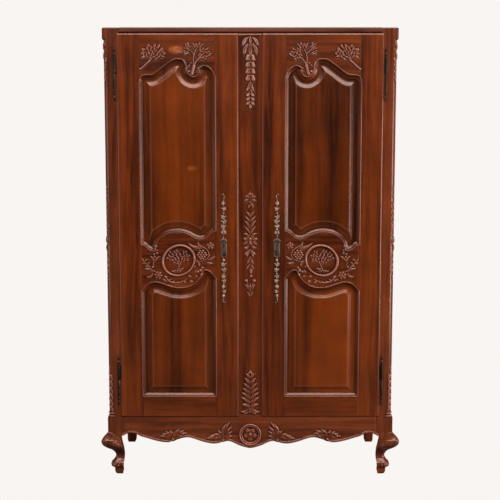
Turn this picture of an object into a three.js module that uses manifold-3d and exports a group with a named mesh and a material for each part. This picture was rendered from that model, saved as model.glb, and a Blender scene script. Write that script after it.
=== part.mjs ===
// A two-door armoire in the French provincial style: canted front posts that run down into
// cabriole legs, a fixed centre post, frame-and-panel sides and doors, barrel hinges and a lock
// in each door. Millimetres, +Z up, front towards -Y, origin on the floor under the middle.
import * as THREE from "three";
import { mergeVertices } from "three/addons/utils/BufferGeometryUtils.js";
import Module from "manifold-3d";

const wasm = await Module();
wasm.setup();

// ---------------------------------------------------------------- driving dimensions
const HEIGHT = 2000;
const HALF_WIDTH = 640;
const DEPTH = 560;
const KNEE_REACH = 34; // how far the knees stand out past the posts, to the side and forward
const GAP = 0.3; // kept between pieces that touch
const FRONT = KNEE_REACH / 2 - DEPTH / 2; // front face of the posts
const BACK = FRONT + DEPTH;

const POST_INNER = 573;
const POST_DEPTH = 60;
const POST_CANT = 15;
const BLOCK_PROUD = 6.5;
const BLOCK_INNER = 582;
const LEG_TOP = 203;
const BASE_TOP = 272;
const FILLET_TOP = 288;
const FILLET_PROUD = 3;
const CAP_BOTTOM = 1950;
const TOP_THICKNESS = 22;
const TOP_BOTTOM = HEIGHT - TOP_THICKNESS;
const TOP_OVERHANG = 10;

const REAR_POST = 49;
const REAR_OUTER = 636;
const SIDE_OUTER = 632;
const SIDE_THICKNESS = 25;
const SIDE_PANEL = 10;
const SIDE_RAILS = { bottom: [215, 300], mid: [1075, 1155], top: [1890, TOP_BOTTOM - GAP] };
const GROOVE_DEPTH = 8;
const TENON_LENGTH = 24;
const TENON_THICKNESS = 10;

const BACK_PANEL = 8;
const BACK_INSET = 12;
const BOARD = 18;
const BOTTOM_BOARD_TOP = 281;
const HOUSING = 6; // depth of the housings that hold the boards and shelves
const PARTITION = 18;
const SHELF_HEIGHTS = { shelf_lower: 640, shelf_middle: 1000, shelf_upper: 1380 };
const HAT_SHELF_HEIGHT = 1700;
const ROD_HEIGHT = 1640;
const ROD_RADIUS = 14;
const ROD_SOCKET_RADIUS = 24;
const ROD_SOCKET_DEPTH = 16;

const DOOR_PROUD = 7; // the doors' front faces stand this far in front of the posts
const DOOR_BACK = 15;
const DOOR_LIP = 9;
const LIP_CLEARANCE = 0.4;
const DOOR_CLEARANCE = 2;
const DOOR_HINGE_EDGE = 581;
const DOOR_LOCK_EDGE = 53;
const DOOR_BOTTOM = 277;
const DOOR_TOP = 1974;
const STILE_INNER = { hinge: 482, lock: 156 };
const PANEL_TONGUE = 9;
const PANEL_THICKNESS = 8;
const FIELD_INSET = 36;
const FIELD_RECESS = 3;
const OPENING_SILL = 371; // straight lower edge of a door's lower panel opening

const RAIL_DEPTH = 40;
const STOP_DEPTH = 17;
const APRON_THICKNESS = 26;
const APRON_TOP = DOOR_BOTTOM + DOOR_LIP - DOOR_CLEARANCE;
const CENTRE_POST_HALF = DOOR_LOCK_EDGE + DOOR_LIP - DOOR_CLEARANCE;
const CENTRE_POST_DEPTH = APRON_THICKNESS;

const HINGE_X = 592;
const HINGE_Y = FRONT - 6.5;
const HINGE_RADIUS = 6;
const HINGE_SPANS = { upper: [1686, 1915], lower: [330, 557] };
const PIN_RADIUS = 3;
const PIN_DEPTH = 60;
const FINIAL = 15;
const LEAF = 2.4;
const LEAF_REACH = 20;

const LOCK_X = 118;
const KEYHOLE_Z = 1045;
const KEYHOLE_RADIUS = 3.5;
const LOCK_CASE = { far: 136, below: 45, above: 45, front: 5 };
const BOLT = { length: 38, height: 20, thickness: 5, travel: 12 };
const ESCUTCHEON = { low: 791, high: 1282, thickness: 2 };

// ---------------------------------------------------------------- finishes
const finishes = {
  mahogany: { color: 0x552616, roughness: 0.35, metalness: 0 },
  panel: { color: 0x6a2e18, roughness: 0.32, metalness: 0 },
  inside: { color: 0x8a6242, roughness: 0.7, metalness: 0 },
  brass: { color: 0x5d4f38, roughness: 0.4, metalness: 1 },
  steel: { color: 0x77746e, roughness: 0.4, metalness: 1 },
};

// ---------------------------------------------------------------- solids from geometries
function solidOf(geometry) {
  geometry.deleteAttribute("normal");
  geometry.deleteAttribute("uv");
  const merged = mergeVertices(geometry, 1e-4);
  const mesh = new wasm.Mesh({
    numProp: 3,
    vertProperties: Float32Array.from(merged.attributes.position.array),
    triVerts: Uint32Array.from(merged.index.array),
  });
  return new wasm.Manifold(mesh);
}

function geometryOf(solid) {
  const mesh = solid.getMesh();
  const geometry = new THREE.BufferGeometry();
  geometry.setAttribute("position", new THREE.BufferAttribute(mesh.vertProperties, 3));
  geometry.setIndex(new THREE.BufferAttribute(mesh.triVerts, 1));
  geometry.computeVertexNormals();
  return geometry;
}

// A block between two limits on each axis, made larger all round by grow.
function block(xs, ys, zs, grow = 0) {
  const spans = [xs, ys, zs].map(([a, b]) => [Math.min(a, b) - grow, Math.max(a, b) + grow]);
  const sizes = spans.map(([lo, hi]) => hi - lo);
  const middles = spans.map(([lo, hi]) => (lo + hi) / 2);
  return solidOf(new THREE.BoxGeometry(...sizes).translate(...middles));
}

// A shape drawn in X and Z, with its thickness between two depths.
function plate(shape, [yFront, yBack], segments = 4) {
  const geometry = new THREE.ExtrudeGeometry(shape, {
    depth: yBack - yFront,
    bevelEnabled: false,
    curveSegments: segments,
  });
  return solidOf(geometry.rotateX(Math.PI / 2).translate(0, yBack, 0));
}

// A shape drawn in Y and Z, with its thickness between two places across the width.
function slab(shape, [xLow, xHigh], segments = 4) {
  const geometry = new THREE.ExtrudeGeometry(shape, {
    depth: xHigh - xLow,
    bevelEnabled: false,
    curveSegments: segments,
  });
  const toSide = new THREE.Matrix4().makeBasis(
    new THREE.Vector3(0, 1, 0),
    new THREE.Vector3(0, 0, 1),
    new THREE.Vector3(1, 0, 0),
  );
  return solidOf(geometry.applyMatrix4(toSide).translate(xLow, 0, 0));
}

function turned(profile, segments) {
  const points = profile.map(([radius, along]) => new THREE.Vector2(radius, along));
  return new THREE.LatheGeometry(points, segments);
}

const points2 = (pairs, place = (a, b) => [a, b]) =>
  pairs.map(([a, b]) => new THREE.Vector2(...place(a, b)));

const armoire = new THREE.Group();
function addPiece(name, solid, finish) {
  const mesh = new THREE.Mesh(geometryOf(solid), new THREE.MeshStandardMaterial(finishes[finish]));
  mesh.name = name;
  armoire.add(mesh);
}

const sides = { left: -1, right: 1 };

// ---------------------------------------------------------------- carcass pieces
// The limits of each box-like piece, so that a neighbour can be cut around it. Widths are given
// as distances from the middle of the armoire, and side is -1 on the left and 1 on the right.
const railY = [FRONT + POST_DEPTH + GAP, BACK - REAR_POST - GAP];

function sideRailBox(side, heights, grow = 0) {
  const xs = [side * (SIDE_OUTER - SIDE_THICKNESS), side * SIDE_OUTER];
  return block(xs, railY, heights, grow);
}

function sideTenons(side, [low, high], grow = 0) {
  const centre = SIDE_OUTER - SIDE_THICKNESS / 2;
  const xs = [side * (centre - TENON_THICKNESS / 2), side * (centre + TENON_THICKNESS / 2)];
  const ys = [railY[0] - TENON_LENGTH, railY[1] + TENON_LENGTH];
  return block(xs, ys, [low + TENON_THICKNESS, high - TENON_THICKNESS], grow);
}

function sidePanel(side, [low, high], grow = 0) {
  const centre = SIDE_OUTER - SIDE_THICKNESS / 2;
  const xs = [side * (centre - SIDE_PANEL / 2), side * (centre + SIDE_PANEL / 2)];
  const ys = [railY[0] - GROOVE_DEPTH, railY[1] + GROOVE_DEPTH];
  return block(xs, ys, [low - GROOVE_DEPTH, high + GROOVE_DEPTH], grow);
}

const sidePanelSpans = {
  upper: [SIDE_RAILS.mid[1], SIDE_RAILS.top[0]],
  lower: [SIDE_RAILS.bottom[1], SIDE_RAILS.mid[0]],
};

const backY = [BACK - BACK_INSET - BACK_PANEL, BACK - BACK_INSET];
function backPanel(grow = 0) {
  const reach = REAR_OUTER - REAR_POST + GROOVE_DEPTH;
  return block([-reach, reach], backY, [SIDE_RAILS.bottom[0], TOP_BOTTOM - GAP], grow);
}

function bottomBoardBox(grow = 0) {
  const reach = SIDE_OUTER - SIDE_THICKNESS + HOUSING - GAP;
  const ys = [FRONT + APRON_THICKNESS + GAP, backY[0] - GAP];
  return block([-reach, reach], ys, [BOTTOM_BOARD_TOP - BOARD, BOTTOM_BOARD_TOP], grow);
}

// A shelf from the partition out to one side. It is let into the partition and both posts.
function shelf(side, height, grow = 0) {
  const panelFace = SIDE_OUTER - SIDE_THICKNESS / 2 - SIDE_PANEL / 2;
  const xs = [side * (PARTITION / 2 - HOUSING + 1), side * (panelFace - GAP)];
  const ys = [FRONT + POST_DEPTH - HOUSING, backY[0] - GAP];
  const zs = [height, height + BOARD];
  const rearInner = REAR_OUTER - REAR_POST + HOUSING;
  const notch = block(
    [side * rearInner, side * (panelFace + BOARD)],
    [BACK - REAR_POST + HOUSING, BACK],
    [height - BOARD, height + 2 * BOARD],
    -grow,
  );
  return block(xs, ys, zs, grow).subtract(notch);
}

const baysOf = {
  [-1]: [HAT_SHELF_HEIGHT],
  1: Object.values(SHELF_HEIGHTS),
};

const apronTenon = (side, grow = 0) =>
  block(
    [side * (POST_INNER - GAP), side * (POST_INNER + TENON_LENGTH)],
    [FRONT + 8, FRONT + 8 + TENON_THICKNESS],
    [LEG_TOP + 12, BASE_TOP - 4],
    grow,
  );

const topRailTenon = (side, grow = 0) =>
  block(
    [side * (POST_INNER - GAP), side * (POST_INNER + TENON_LENGTH)],
    [FRONT + STOP_DEPTH + 6, FRONT + STOP_DEPTH + 6 + TENON_THICKNESS],
    [CAP_BOTTOM - 12, TOP_BOTTOM - 8],
    grow,
  );

// ---------------------------------------------------------------- front posts and legs
// One silhouette, seen from the front and again from the side, as a cabriole leg is sawn.
// Reach is the distance out from the middle of the armoire, and height is from the floor.
function legOutline(place) {
  const outer = [[670, 175], [674, 159], [660, 134], [633, 115], [617, 88], [630, 60],
    [634, 47], [624, 32], [617, 14], [611, 0]];
  const inner = [[579, 20], [577.5, 45], [573, 100], [578, 134], [585, 167], [583, LEG_TOP]];
  const shape = new THREE.Shape();
  shape.moveTo(...place(HALF_WIDTH + BLOCK_PROUD, LEG_TOP));
  shape.splineThru(points2(outer, place));
  shape.lineTo(...place(583, 0));
  shape.splineThru(points2(inner, place));
  return shape;
}

function frontLeg(side) {
  const reachY = (reach) => FRONT + HALF_WIDTH - reach;
  const front = legOutline((reach, height) => [side * reach, height]);
  const profile = legOutline((reach, height) => [reachY(reach), height]);
  const widths = [side * 560, side * 690].sort((a, b) => a - b);
  return plate(front, [reachY(690), reachY(560)], 2).intersect(slab(profile, widths, 2));
}

// A post's cross-section with its outer front corner canted, between two heights. Its outer
// side can stand proud of the post's.
function cantedBlock(side, inner, proud, [low, high]) {
  const outer = HALF_WIDTH + proud;
  const shape = new THREE.Shape(points2([
    [side * inner, FRONT],
    [side * (outer - POST_CANT), FRONT],
    [side * outer, FRONT + POST_CANT],
    [side * outer, FRONT + POST_DEPTH],
    [side * inner, FRONT + POST_DEPTH],
  ]));
  const geometry = new THREE.ExtrudeGeometry(shape, { depth: high - low, bevelEnabled: false });
  return solidOf(geometry.translate(0, 0, low));
}

function hingeAxisPlace(side) {
  return [side * HINGE_X, HINGE_Y];
}

function postLeafPlate(side, [low, high], grow = 0) {
  const xs = [side * HINGE_X - LEAF / 2, side * HINGE_X + LEAF / 2];
  const ys = [HINGE_Y + 4.5, FRONT + LEAF_REACH];
  return block(xs, ys, [low + FINIAL, (low + high) / 2 - 5], grow);
}

function doorLeafPlate(side, [low, high], grow = 0) {
  const xs = [side * (HINGE_X - 4), side * (DOOR_HINGE_EDGE - LEAF_REACH)];
  const ys = [FRONT - 4 - LEAF / 2, FRONT - 4 + LEAF / 2];
  return block(xs, ys, [(low + high) / 2 + 5, high - FINIAL], grow);
}

function frontPost(side) {
  let post = cantedBlock(side, POST_INNER, 0, [LEG_TOP, HEIGHT])
    .add(cantedBlock(side, BLOCK_INNER, BLOCK_PROUD, [LEG_TOP, BASE_TOP]))
    .add(cantedBlock(side, BLOCK_INNER, FILLET_PROUD, [BASE_TOP, FILLET_TOP]))
    .add(cantedBlock(side, BLOCK_INNER, BLOCK_PROUD, [CAP_BOTTOM, HEIGHT]))
    .add(frontLeg(side))
    .subtract(apronTenon(side, GAP))
    .subtract(topRailTenon(side, GAP));
  for (const heights of Object.values(SIDE_RAILS)) {
    post = post.subtract(sideTenons(side, heights, GAP));
  }
  for (const heights of Object.values(sidePanelSpans)) {
    post = post.subtract(sidePanel(side, heights, GAP));
  }
  for (const heights of Object.values(HINGE_SPANS)) {
    post = post.subtract(postLeafPlate(side, heights, GAP));
  }
  for (const height of baysOf[side]) post = post.subtract(shelf(side, height, GAP));
  return post;
}

function rearPost(side) {
  const xs = [side * (REAR_OUTER - REAR_POST), side * REAR_OUTER];
  let post = block(xs, [BACK - REAR_POST, BACK], [0, TOP_BOTTOM - GAP]).subtract(backPanel(GAP));
  for (const heights of Object.values(SIDE_RAILS)) {
    post = post.subtract(sideTenons(side, heights, GAP));
  }
  for (const heights of Object.values(sidePanelSpans)) {
    post = post.subtract(sidePanel(side, heights, GAP));
  }
  for (const height of baysOf[side]) post = post.subtract(shelf(side, height, GAP));
  return post;
}

for (const [name, side] of Object.entries(sides)) {
  addPiece(`front_post_${name}`, frontPost(side), "mahogany");
  addPiece(`rear_post_${name}`, rearPost(side), "mahogany");
}

// ---------------------------------------------------------------- sides
for (const [name, side] of Object.entries(sides)) {
  for (const [level, heights] of Object.entries(SIDE_RAILS)) {
    let rail = sideRailBox(side, heights).add(sideTenons(side, heights));
    for (const panelHeights of Object.values(sidePanelSpans)) {
      rail = rail.subtract(sidePanel(side, panelHeights, GAP));
    }
    if (level === "bottom") rail = rail.subtract(bottomBoardBox(GAP));
    addPiece(`side_${level}_rail_${name}`, rail, "mahogany");
  }
  for (const [level, heights] of Object.entries(sidePanelSpans)) {
    addPiece(`side_${level}_panel_${name}`, sidePanel(side, heights), "panel");
  }
}

// ---------------------------------------------------------------- apron, top rail, centre post
// The apron's lower edge, from the middle outwards: three swags parted by small notches.
const apronSwags = [
  [[56, 142], [102, 161], [126, 156]],
  [[172, 148], [228, 161], [283, 178], [330, 168], [351, 161]],
  [[395, 156], [441, 165], [497, 182], [543, 194], [POST_INNER - GAP, 181]],
];
const APRON_DROP = 127;

function apronOutline() {
  const shape = new THREE.Shape();
  const edge = POST_INNER - GAP;
  shape.moveTo(-edge, APRON_TOP);
  shape.lineTo(edge, APRON_TOP);
  for (const swag of apronSwags.toReversed()) {
    const inwards = swag.toReversed();
    shape.lineTo(...inwards[0]);
    shape.splineThru(points2(inwards.slice(1)));
  }
  shape.lineTo(0, APRON_DROP);
  for (const swag of apronSwags) {
    const [first, ...rest] = points2(swag, (reach, height) => [-reach, height]);
    shape.lineTo(first.x, first.y);
    shape.splineThru(rest);
  }
  return shape;
}

function centrePostTenon(heights, grow = 0) {
  const ys = [FRONT + 8, FRONT + 8 + TENON_THICKNESS];
  return block([-CENTRE_POST_HALF / 2, CENTRE_POST_HALF / 2], ys, heights, grow);
}

const RAIL_EDGE = DOOR_TOP - DOOR_LIP + DOOR_CLEARANCE;
const lowerTenon = [APRON_TOP - 20, APRON_TOP + GAP];
const upperTenon = [RAIL_EDGE - GAP, RAIL_EDGE + 10];

function boltBox(side, travel, grow = 0) {
  const near = DOOR_LOCK_EDGE + DOOR_LIP + GAP - travel;
  const xs = [side * near, side * (near + BOLT.length)];
  const middle = FRONT + (LOCK_CASE.front + DOOR_BACK) / 2;
  const ys = [middle - BOLT.thickness / 2, middle + BOLT.thickness / 2];
  return block(xs, ys, [KEYHOLE_Z - BOLT.height / 2, KEYHOLE_Z + BOLT.height / 2], grow);
}

function topRail() {
  const reach = POST_INNER - GAP;
  return block([-reach, reach], [FRONT, FRONT + RAIL_DEPTH], [RAIL_EDGE, TOP_BOTTOM - GAP])
    .add(block([-reach, reach], [FRONT + STOP_DEPTH, FRONT + RAIL_DEPTH],
      [CAP_BOTTOM - 20, TOP_BOTTOM - GAP]))
    .add(topRailTenon(-1))
    .add(topRailTenon(1))
    .subtract(centrePostTenon(upperTenon, GAP));
}

function centrePost() {
  const xs = [-CENTRE_POST_HALF, CENTRE_POST_HALF];
  const stop = block([-CENTRE_POST_HALF - GAP, CENTRE_POST_HALF + GAP],
    [FRONT + STOP_DEPTH - GAP, FRONT + RAIL_DEPTH], [CAP_BOTTOM - 20 - GAP, HEIGHT]);
  return block(xs, [FRONT, FRONT + CENTRE_POST_DEPTH], [APRON_TOP + GAP, RAIL_EDGE - GAP])
    .add(centrePostTenon(lowerTenon))
    .add(centrePostTenon(upperTenon))
    .subtract(stop)
    .subtract(boltBox(-1, BOLT.travel, GAP))
    .subtract(boltBox(1, BOLT.travel, GAP));
}

const apron = plate(apronOutline(), [FRONT, FRONT + APRON_THICKNESS], 3)
  .add(apronTenon(-1))
  .add(apronTenon(1))
  .subtract(centrePostTenon(lowerTenon, GAP));

addPiece("apron_rail", apron, "mahogany");
addPiece("top_rail", topRail(), "mahogany");
addPiece("centre_post", centrePost(), "mahogany");

// ---------------------------------------------------------------- boards
function postCorners(grow) {
  const reach = HALF_WIDTH + BOARD;
  const tall = [0, HEIGHT];
  return Object.values(sides)
    .map((side) =>
      block([side * POST_INNER, side * reach], [FRONT, FRONT + POST_DEPTH], tall, grow).add(
        block([side * (REAR_OUTER - REAR_POST), side * reach], [BACK - REAR_POST, BACK], tall, grow),
      ),
    )
    .reduce((all, one) => all.add(one));
}

const topReach = HALF_WIDTH + BLOCK_PROUD;

// The top, notched round the front posts, which run up to its upper face.
function topBoard() {
  let board = block([-topReach, topReach], [FRONT - TOP_OVERHANG, BACK], [TOP_BOTTOM, HEIGHT]);
  for (const side of [-1, 1]) {
    board = board.subtract(block([side * POST_INNER, side * (topReach + 1)],
      [FRONT - TOP_OVERHANG - 1, FRONT + POST_DEPTH], [TOP_BOTTOM - 1, HEIGHT + 1], GAP));
  }
  return board;
}

function partition() {
  const half = PARTITION / 2;
  const ys = [FRONT + CENTRE_POST_DEPTH + GAP, backY[0] - GAP];
  let board = block([-half, half], ys, [BOTTOM_BOARD_TOP + GAP, TOP_BOTTOM - GAP]).subtract(
    block([-half - 1, half + 1], [FRONT, FRONT + RAIL_DEPTH], [CAP_BOTTOM - 20, HEIGHT], GAP),
  );
  for (const side of [-1, 1]) {
    for (const height of baysOf[side]) board = board.subtract(shelf(side, height, GAP));
  }
  return board;
}

addPiece("top_board", topBoard(), "mahogany");
addPiece("bottom_board", bottomBoardBox().subtract(postCorners(GAP)), "inside");
addPiece("back_panel", backPanel(), "inside");
addPiece("partition", partition(), "inside");
addPiece("hat_shelf", shelf(-1, HAT_SHELF_HEIGHT), "inside");
for (const [name, height] of Object.entries(SHELF_HEIGHTS)) {
  addPiece(name, shelf(1, height), "inside");
}

// ---------------------------------------------------------------- hanging rod
const panelInner = SIDE_OUTER - SIDE_THICKNESS / 2 - SIDE_PANEL / 2;
const ROD_Y = (FRONT + BACK) / 2;

function alongX(geometry, from) {
  return solidOf(geometry.rotateZ(-Math.PI / 2).translate(from, ROD_Y, ROD_HEIGHT));
}

// A round cup whose mouth opens towards +X, or towards -X when turned is true.
function rodSocket(from, isTurned) {
  const rim = ROD_SOCKET_DEPTH;
  const floor = 4;
  const bore = ROD_RADIUS + GAP;
  const profile = [[0, 0], [ROD_SOCKET_RADIUS, 0], [ROD_SOCKET_RADIUS, rim / 2],
    [bore + 4, rim], [bore, rim], [bore, floor], [0, floor]];
  const cup = turned(profile, 20);
  if (isTurned) cup.rotateZ(Math.PI);
  return alongX(cup, from);
}

const rodFrom = -panelInner + GAP + 4 + GAP;
const rodTo = -PARTITION / 2 - GAP - 4 - GAP;
const rodProfile = [[0, 0], [ROD_RADIUS, 0], [ROD_RADIUS, rodTo - rodFrom], [0, rodTo - rodFrom]];
addPiece("hanging_rod", alongX(turned(rodProfile, 20), rodFrom), "inside");
addPiece("rod_socket_left", rodSocket(-panelInner + GAP, false), "brass");
addPiece("rod_socket_right", rodSocket(-PARTITION / 2 - GAP, true), "brass");

// ---------------------------------------------------------------- doors
// Edges of a door's rails, from the hinge stile towards the lock stile. Reach is the distance
// from the middle of the armoire, and height is from the floor.
const doorEdges = {
  topRail: [[482, 1769], [470, 1789], [430, 1795], [383, 1826], [334, 1859], [294, 1857],
    [276, 1804], [250, 1786], [224, 1802], [200, 1832], [170, 1813], [156, 1787]],
  midRailTop: [[482, 1056], [424, 1056], [395, 1091], [337, 1114], [272, 1103], [223, 1083],
    [181, 1104], [156, 1118]],
  midRailBottom: [[482, 847], [468, 865], [430, 885], [384, 876], [330, 861], [250, 878],
    [216, 915], [200, 939], [174, 926], [156, 905]],
  bottomRail: [[482, OPENING_SILL], [156, OPENING_SILL]],
};

// A smooth edge between the stiles, moved up by rise, and its ends carried on past the stiles.
function edgePoints(edge, rise, past) {
  const curve = new THREE.SplineCurve(points2(edge));
  const inner = curve.getPoints(edge.length > 2 ? 2 * (edge.length - 1) : 1);
  const ends = [
    new THREE.Vector2(STILE_INNER.hinge + past, edge[0][1]),
    ...inner,
    new THREE.Vector2(STILE_INNER.lock - past, edge.at(-1)[1]),
  ];
  const kept = past === 0 ? inner : ends;
  return kept.map((point) => [point.x, point.y + rise]);
}

// The opening between two edges, made larger all round by margin.
function openingShape(side, lowEdge, highEdge, margin) {
  const past = Math.abs(margin);
  let low = edgePoints(lowEdge, -margin, margin > 0 ? past : 0);
  let high = edgePoints(highEdge, margin, margin > 0 ? past : 0);
  if (margin < 0) {
    const within = ([reach]) =>
      reach < STILE_INNER.hinge + margin && reach > STILE_INNER.lock - margin;
    low = [[STILE_INNER.hinge + margin, low[0][1]], ...low.filter(within),
      [STILE_INNER.lock - margin, low.at(-1)[1]]];
    high = [[STILE_INNER.hinge + margin, high[0][1]], ...high.filter(within),
      [STILE_INNER.lock - margin, high.at(-1)[1]]];
  }
  return new THREE.Shape(points2([...low, ...high.reverse()], (u, z) => [side * u, z]));
}

const panelOpenings = {
  upper: [doorEdges.midRailTop, doorEdges.topRail],
  lower: [doorEdges.bottomRail, doorEdges.midRailBottom],
};
const doorY = [FRONT - DOOR_PROUD, FRONT + DOOR_BACK];
const tongueY = [FRONT + 1, FRONT + 1 + PANEL_THICKNESS];

function panelTongue(side, [low, high], grow = 0) {
  return plate(openingShape(side, low, high, PANEL_TONGUE + grow),
    [tongueY[0] - grow, tongueY[1] + grow]);
}

function doorPanel(side, [low, high]) {
  const field = openingShape(side, low, high, -FIELD_INSET);
  return panelTongue(side, [low, high]).add(
    plate(field, [FRONT - DOOR_PROUD + FIELD_RECESS, tongueY[1]]),
  );
}

// Cuts back the rear of the door's outline, which leaves the lip that laps the frame.
function withoutRebate(side, piece) {
  const ys = [FRONT - LIP_CLEARANCE, FRONT + DOOR_BACK + 1];
  const across = [side * (DOOR_LOCK_EDGE - 1), side * (DOOR_HINGE_EDGE + 1)];
  const tall = [DOOR_BOTTOM - 1, DOOR_TOP + 1];
  return piece
    .subtract(block([across[0], side * (DOOR_LOCK_EDGE + DOOR_LIP)], ys, tall))
    .subtract(block([side * (DOOR_HINGE_EDGE - DOOR_LIP), across[1]], ys, tall))
    .subtract(block(across, ys, [DOOR_TOP - DOOR_LIP, DOOR_TOP + 1]))
    .subtract(block(across, ys, [DOOR_BOTTOM - 1, DOOR_BOTTOM + DOOR_LIP]));
}

function withGrooves(side, piece) {
  return Object.values(panelOpenings).reduce(
    (cut, opening) => cut.subtract(panelTongue(side, opening, GAP)),
    piece,
  );
}

// The tenons that join a rail to both stiles, in line with the panel grooves.
function railTenons(side, heights, grow = 0) {
  const ends = [
    [STILE_INNER.lock - TENON_LENGTH, STILE_INNER.lock + 1],
    [STILE_INNER.hinge - 1, STILE_INNER.hinge + TENON_LENGTH],
  ];
  return ends
    .map((end) => block(end.map((reach) => side * reach), tongueY, heights, grow))
    .reduce((all, one) => all.add(one));
}
const tenonSpans = {
  top_rail: [1830, 1940],
  mid_rail: [925, 990],
  bottom_rail: [300, 355],
};

function doorRail(side, lowEdge, highEdge, tenon) {
  const shape = new THREE.Shape(points2(
    [...edgePoints(lowEdge, 0, 0), ...edgePoints(highEdge, 0, 0).reverse()],
    (u, z) => [side * u, z],
  ));
  const keep = block([side * (STILE_INNER.lock + GAP), side * (STILE_INNER.hinge - GAP)],
    doorY, [DOOR_BOTTOM, DOOR_TOP]);
  const rail = withGrooves(side, plate(shape, doorY).intersect(keep));
  return withoutRebate(side, rail.add(railTenons(side, tenon)));
}

const straight = (height) => [[STILE_INNER.hinge, height], [STILE_INNER.lock, height]];

function lockCaseBox(side, grow = 0) {
  const xs = [side * (DOOR_LOCK_EDGE + DOOR_LIP + GAP), side * LOCK_CASE.far];
  const zs = [KEYHOLE_Z - LOCK_CASE.below, KEYHOLE_Z + LOCK_CASE.above];
  return block(xs, [FRONT + LOCK_CASE.front, FRONT + DOOR_BACK], zs, grow);
}

// A keyhole through everything between two depths: a round eye over a narrow slot.
function keyhole(side, depths) {
  const eye = new THREE.CylinderGeometry(KEYHOLE_RADIUS, KEYHOLE_RADIUS, depths[1] - depths[0], 12);
  const middle = (depths[0] + depths[1]) / 2;
  return solidOf(eye.translate(side * LOCK_X, middle, KEYHOLE_Z)).add(
    block([side * LOCK_X - 1.5, side * LOCK_X + 1.5], depths, [KEYHOLE_Z - 12, KEYHOLE_Z]),
  );
}

function stile(side, near, far) {
  const body = block([side * near, side * far], doorY, [DOOR_BOTTOM, DOOR_TOP]);
  const cut = Object.values(tenonSpans).reduce(
    (piece, span) => piece.subtract(railTenons(side, span, GAP)),
    withGrooves(side, body),
  );
  return withoutRebate(side, cut);
}

function hingeStile(side) {
  return Object.values(HINGE_SPANS).reduce(
    (piece, span) => piece.subtract(doorLeafPlate(side, span, GAP)),
    stile(side, STILE_INNER.hinge, DOOR_HINGE_EDGE),
  );
}

function lockStile(side) {
  return stile(side, DOOR_LOCK_EDGE, STILE_INNER.lock)
    .subtract(lockCaseBox(side, GAP))
    .subtract(keyhole(side, [doorY[0] - 1, FRONT + LOCK_CASE.front + 1]));
}

function lockCase(side) {
  return lockCaseBox(side)
    .subtract(boltBox(side, 0, GAP))
    .subtract(keyhole(side, [FRONT, FRONT + (LOCK_CASE.front + DOOR_BACK) / 2]));
}

// A long narrow plate with a wider part around the keyhole and pointed ends.
function escutcheon(side) {
  const place = (out, height) => [side * (LOCK_X + out), height];
  const waist = 7;
  const wide = 19;
  const outline = [[0, ESCUTCHEON.low], [waist, ESCUTCHEON.low + 40], [5, 920], [waist, 990],
    [wide, 1010], [wide, 1070], [waist, 1090], [5, 1160], [waist, ESCUTCHEON.high - 40],
    [0, ESCUTCHEON.high]];
  const mirrored = outline.slice(1, -1).reverse().map(([out, height]) => [-out, height]);
  const shape = new THREE.Shape(points2([...outline, ...mirrored], place));
  const back = doorY[0] - GAP;
  const depths = [back - ESCUTCHEON.thickness, back];
  return plate(shape, depths).subtract(keyhole(side, [depths[0] - 1, depths[1] + 1]));
}

for (const [name, side] of Object.entries(sides)) {
  const door = `${name}_door`;
  const { topRail: top, midRailTop, midRailBottom, bottomRail } = doorEdges;
  addPiece(`${door}_hinge_stile`, hingeStile(side), "mahogany");
  addPiece(`${door}_lock_stile`, lockStile(side), "mahogany");
  addPiece(`${door}_top_rail`, doorRail(side, top, straight(DOOR_TOP), tenonSpans.top_rail),
    "mahogany");
  addPiece(`${door}_mid_rail`, doorRail(side, midRailBottom, midRailTop, tenonSpans.mid_rail),
    "mahogany");
  addPiece(`${door}_bottom_rail`,
    doorRail(side, straight(DOOR_BOTTOM), bottomRail, tenonSpans.bottom_rail), "mahogany");
  for (const [level, opening] of Object.entries(panelOpenings)) {
    addPiece(`${door}_${level}_panel`, doorPanel(side, opening), "panel");
  }
  addPiece(`${name}_escutcheon`, escutcheon(side), "brass");
  addPiece(`${name}_lock_case`, lockCase(side), "steel");
  addPiece(`${name}_lock_bolt`, boltBox(side, 0), "steel");
}

// ---------------------------------------------------------------- barrel hinges
// Half a barrel with its finial at z = 0 and its mouth at the top, bored for the pin.
function knuckle(length) {
  const bore = PIN_RADIUS + GAP;
  return turned([[0, 0], [3.5, 1.5], [5, 5.5], [3.5, 9], [3, 11], [HINGE_RADIUS, FINIAL],
    [HINGE_RADIUS, length], [bore, length], [bore, length - PIN_DEPTH],
    [0, length - PIN_DEPTH]], 12);
}

for (const [name, side] of Object.entries(sides)) {
  const [x, y] = hingeAxisPlace(side);
  for (const [level, [low, high]] of Object.entries(HINGE_SPANS)) {
    const middle = (low + high) / 2;
    const length = middle - low - GAP;
    const lowerBarrel = solidOf(knuckle(length).rotateX(Math.PI / 2).translate(x, y, low));
    const upperBarrel = solidOf(knuckle(length).rotateX(-Math.PI / 2).translate(x, y, high));
    const hinge = `${level}_hinge_${name}`;
    addPiece(`${hinge}_post_leaf`, lowerBarrel.add(postLeafPlate(side, [low, high])), "brass");
    addPiece(`${hinge}_door_leaf`, upperBarrel.add(doorLeafPlate(side, [low, high])), "brass");
    const reach = 2 * (PIN_DEPTH - GAP);
    const pin = new THREE.CylinderGeometry(PIN_RADIUS, PIN_RADIUS, reach, 12);
    addPiece(`${hinge}_pin`, solidOf(pin.rotateX(Math.PI / 2).translate(x, y, middle)), "steel");
  }
}

export default armoire;
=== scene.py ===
"""Looks of the two-door armoire: carved mahogany, raised panels, aged-brass hinges and locks.

Lengths are in millimetres, in the frame's axes, until a mesh is made. "Reach" is the distance out
from the middle of the armoire, so both doors and both sides share one description, and a side is
-1 on the left and 1 on the right. Heights of carving are measured out from a face.
"""
import math

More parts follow.
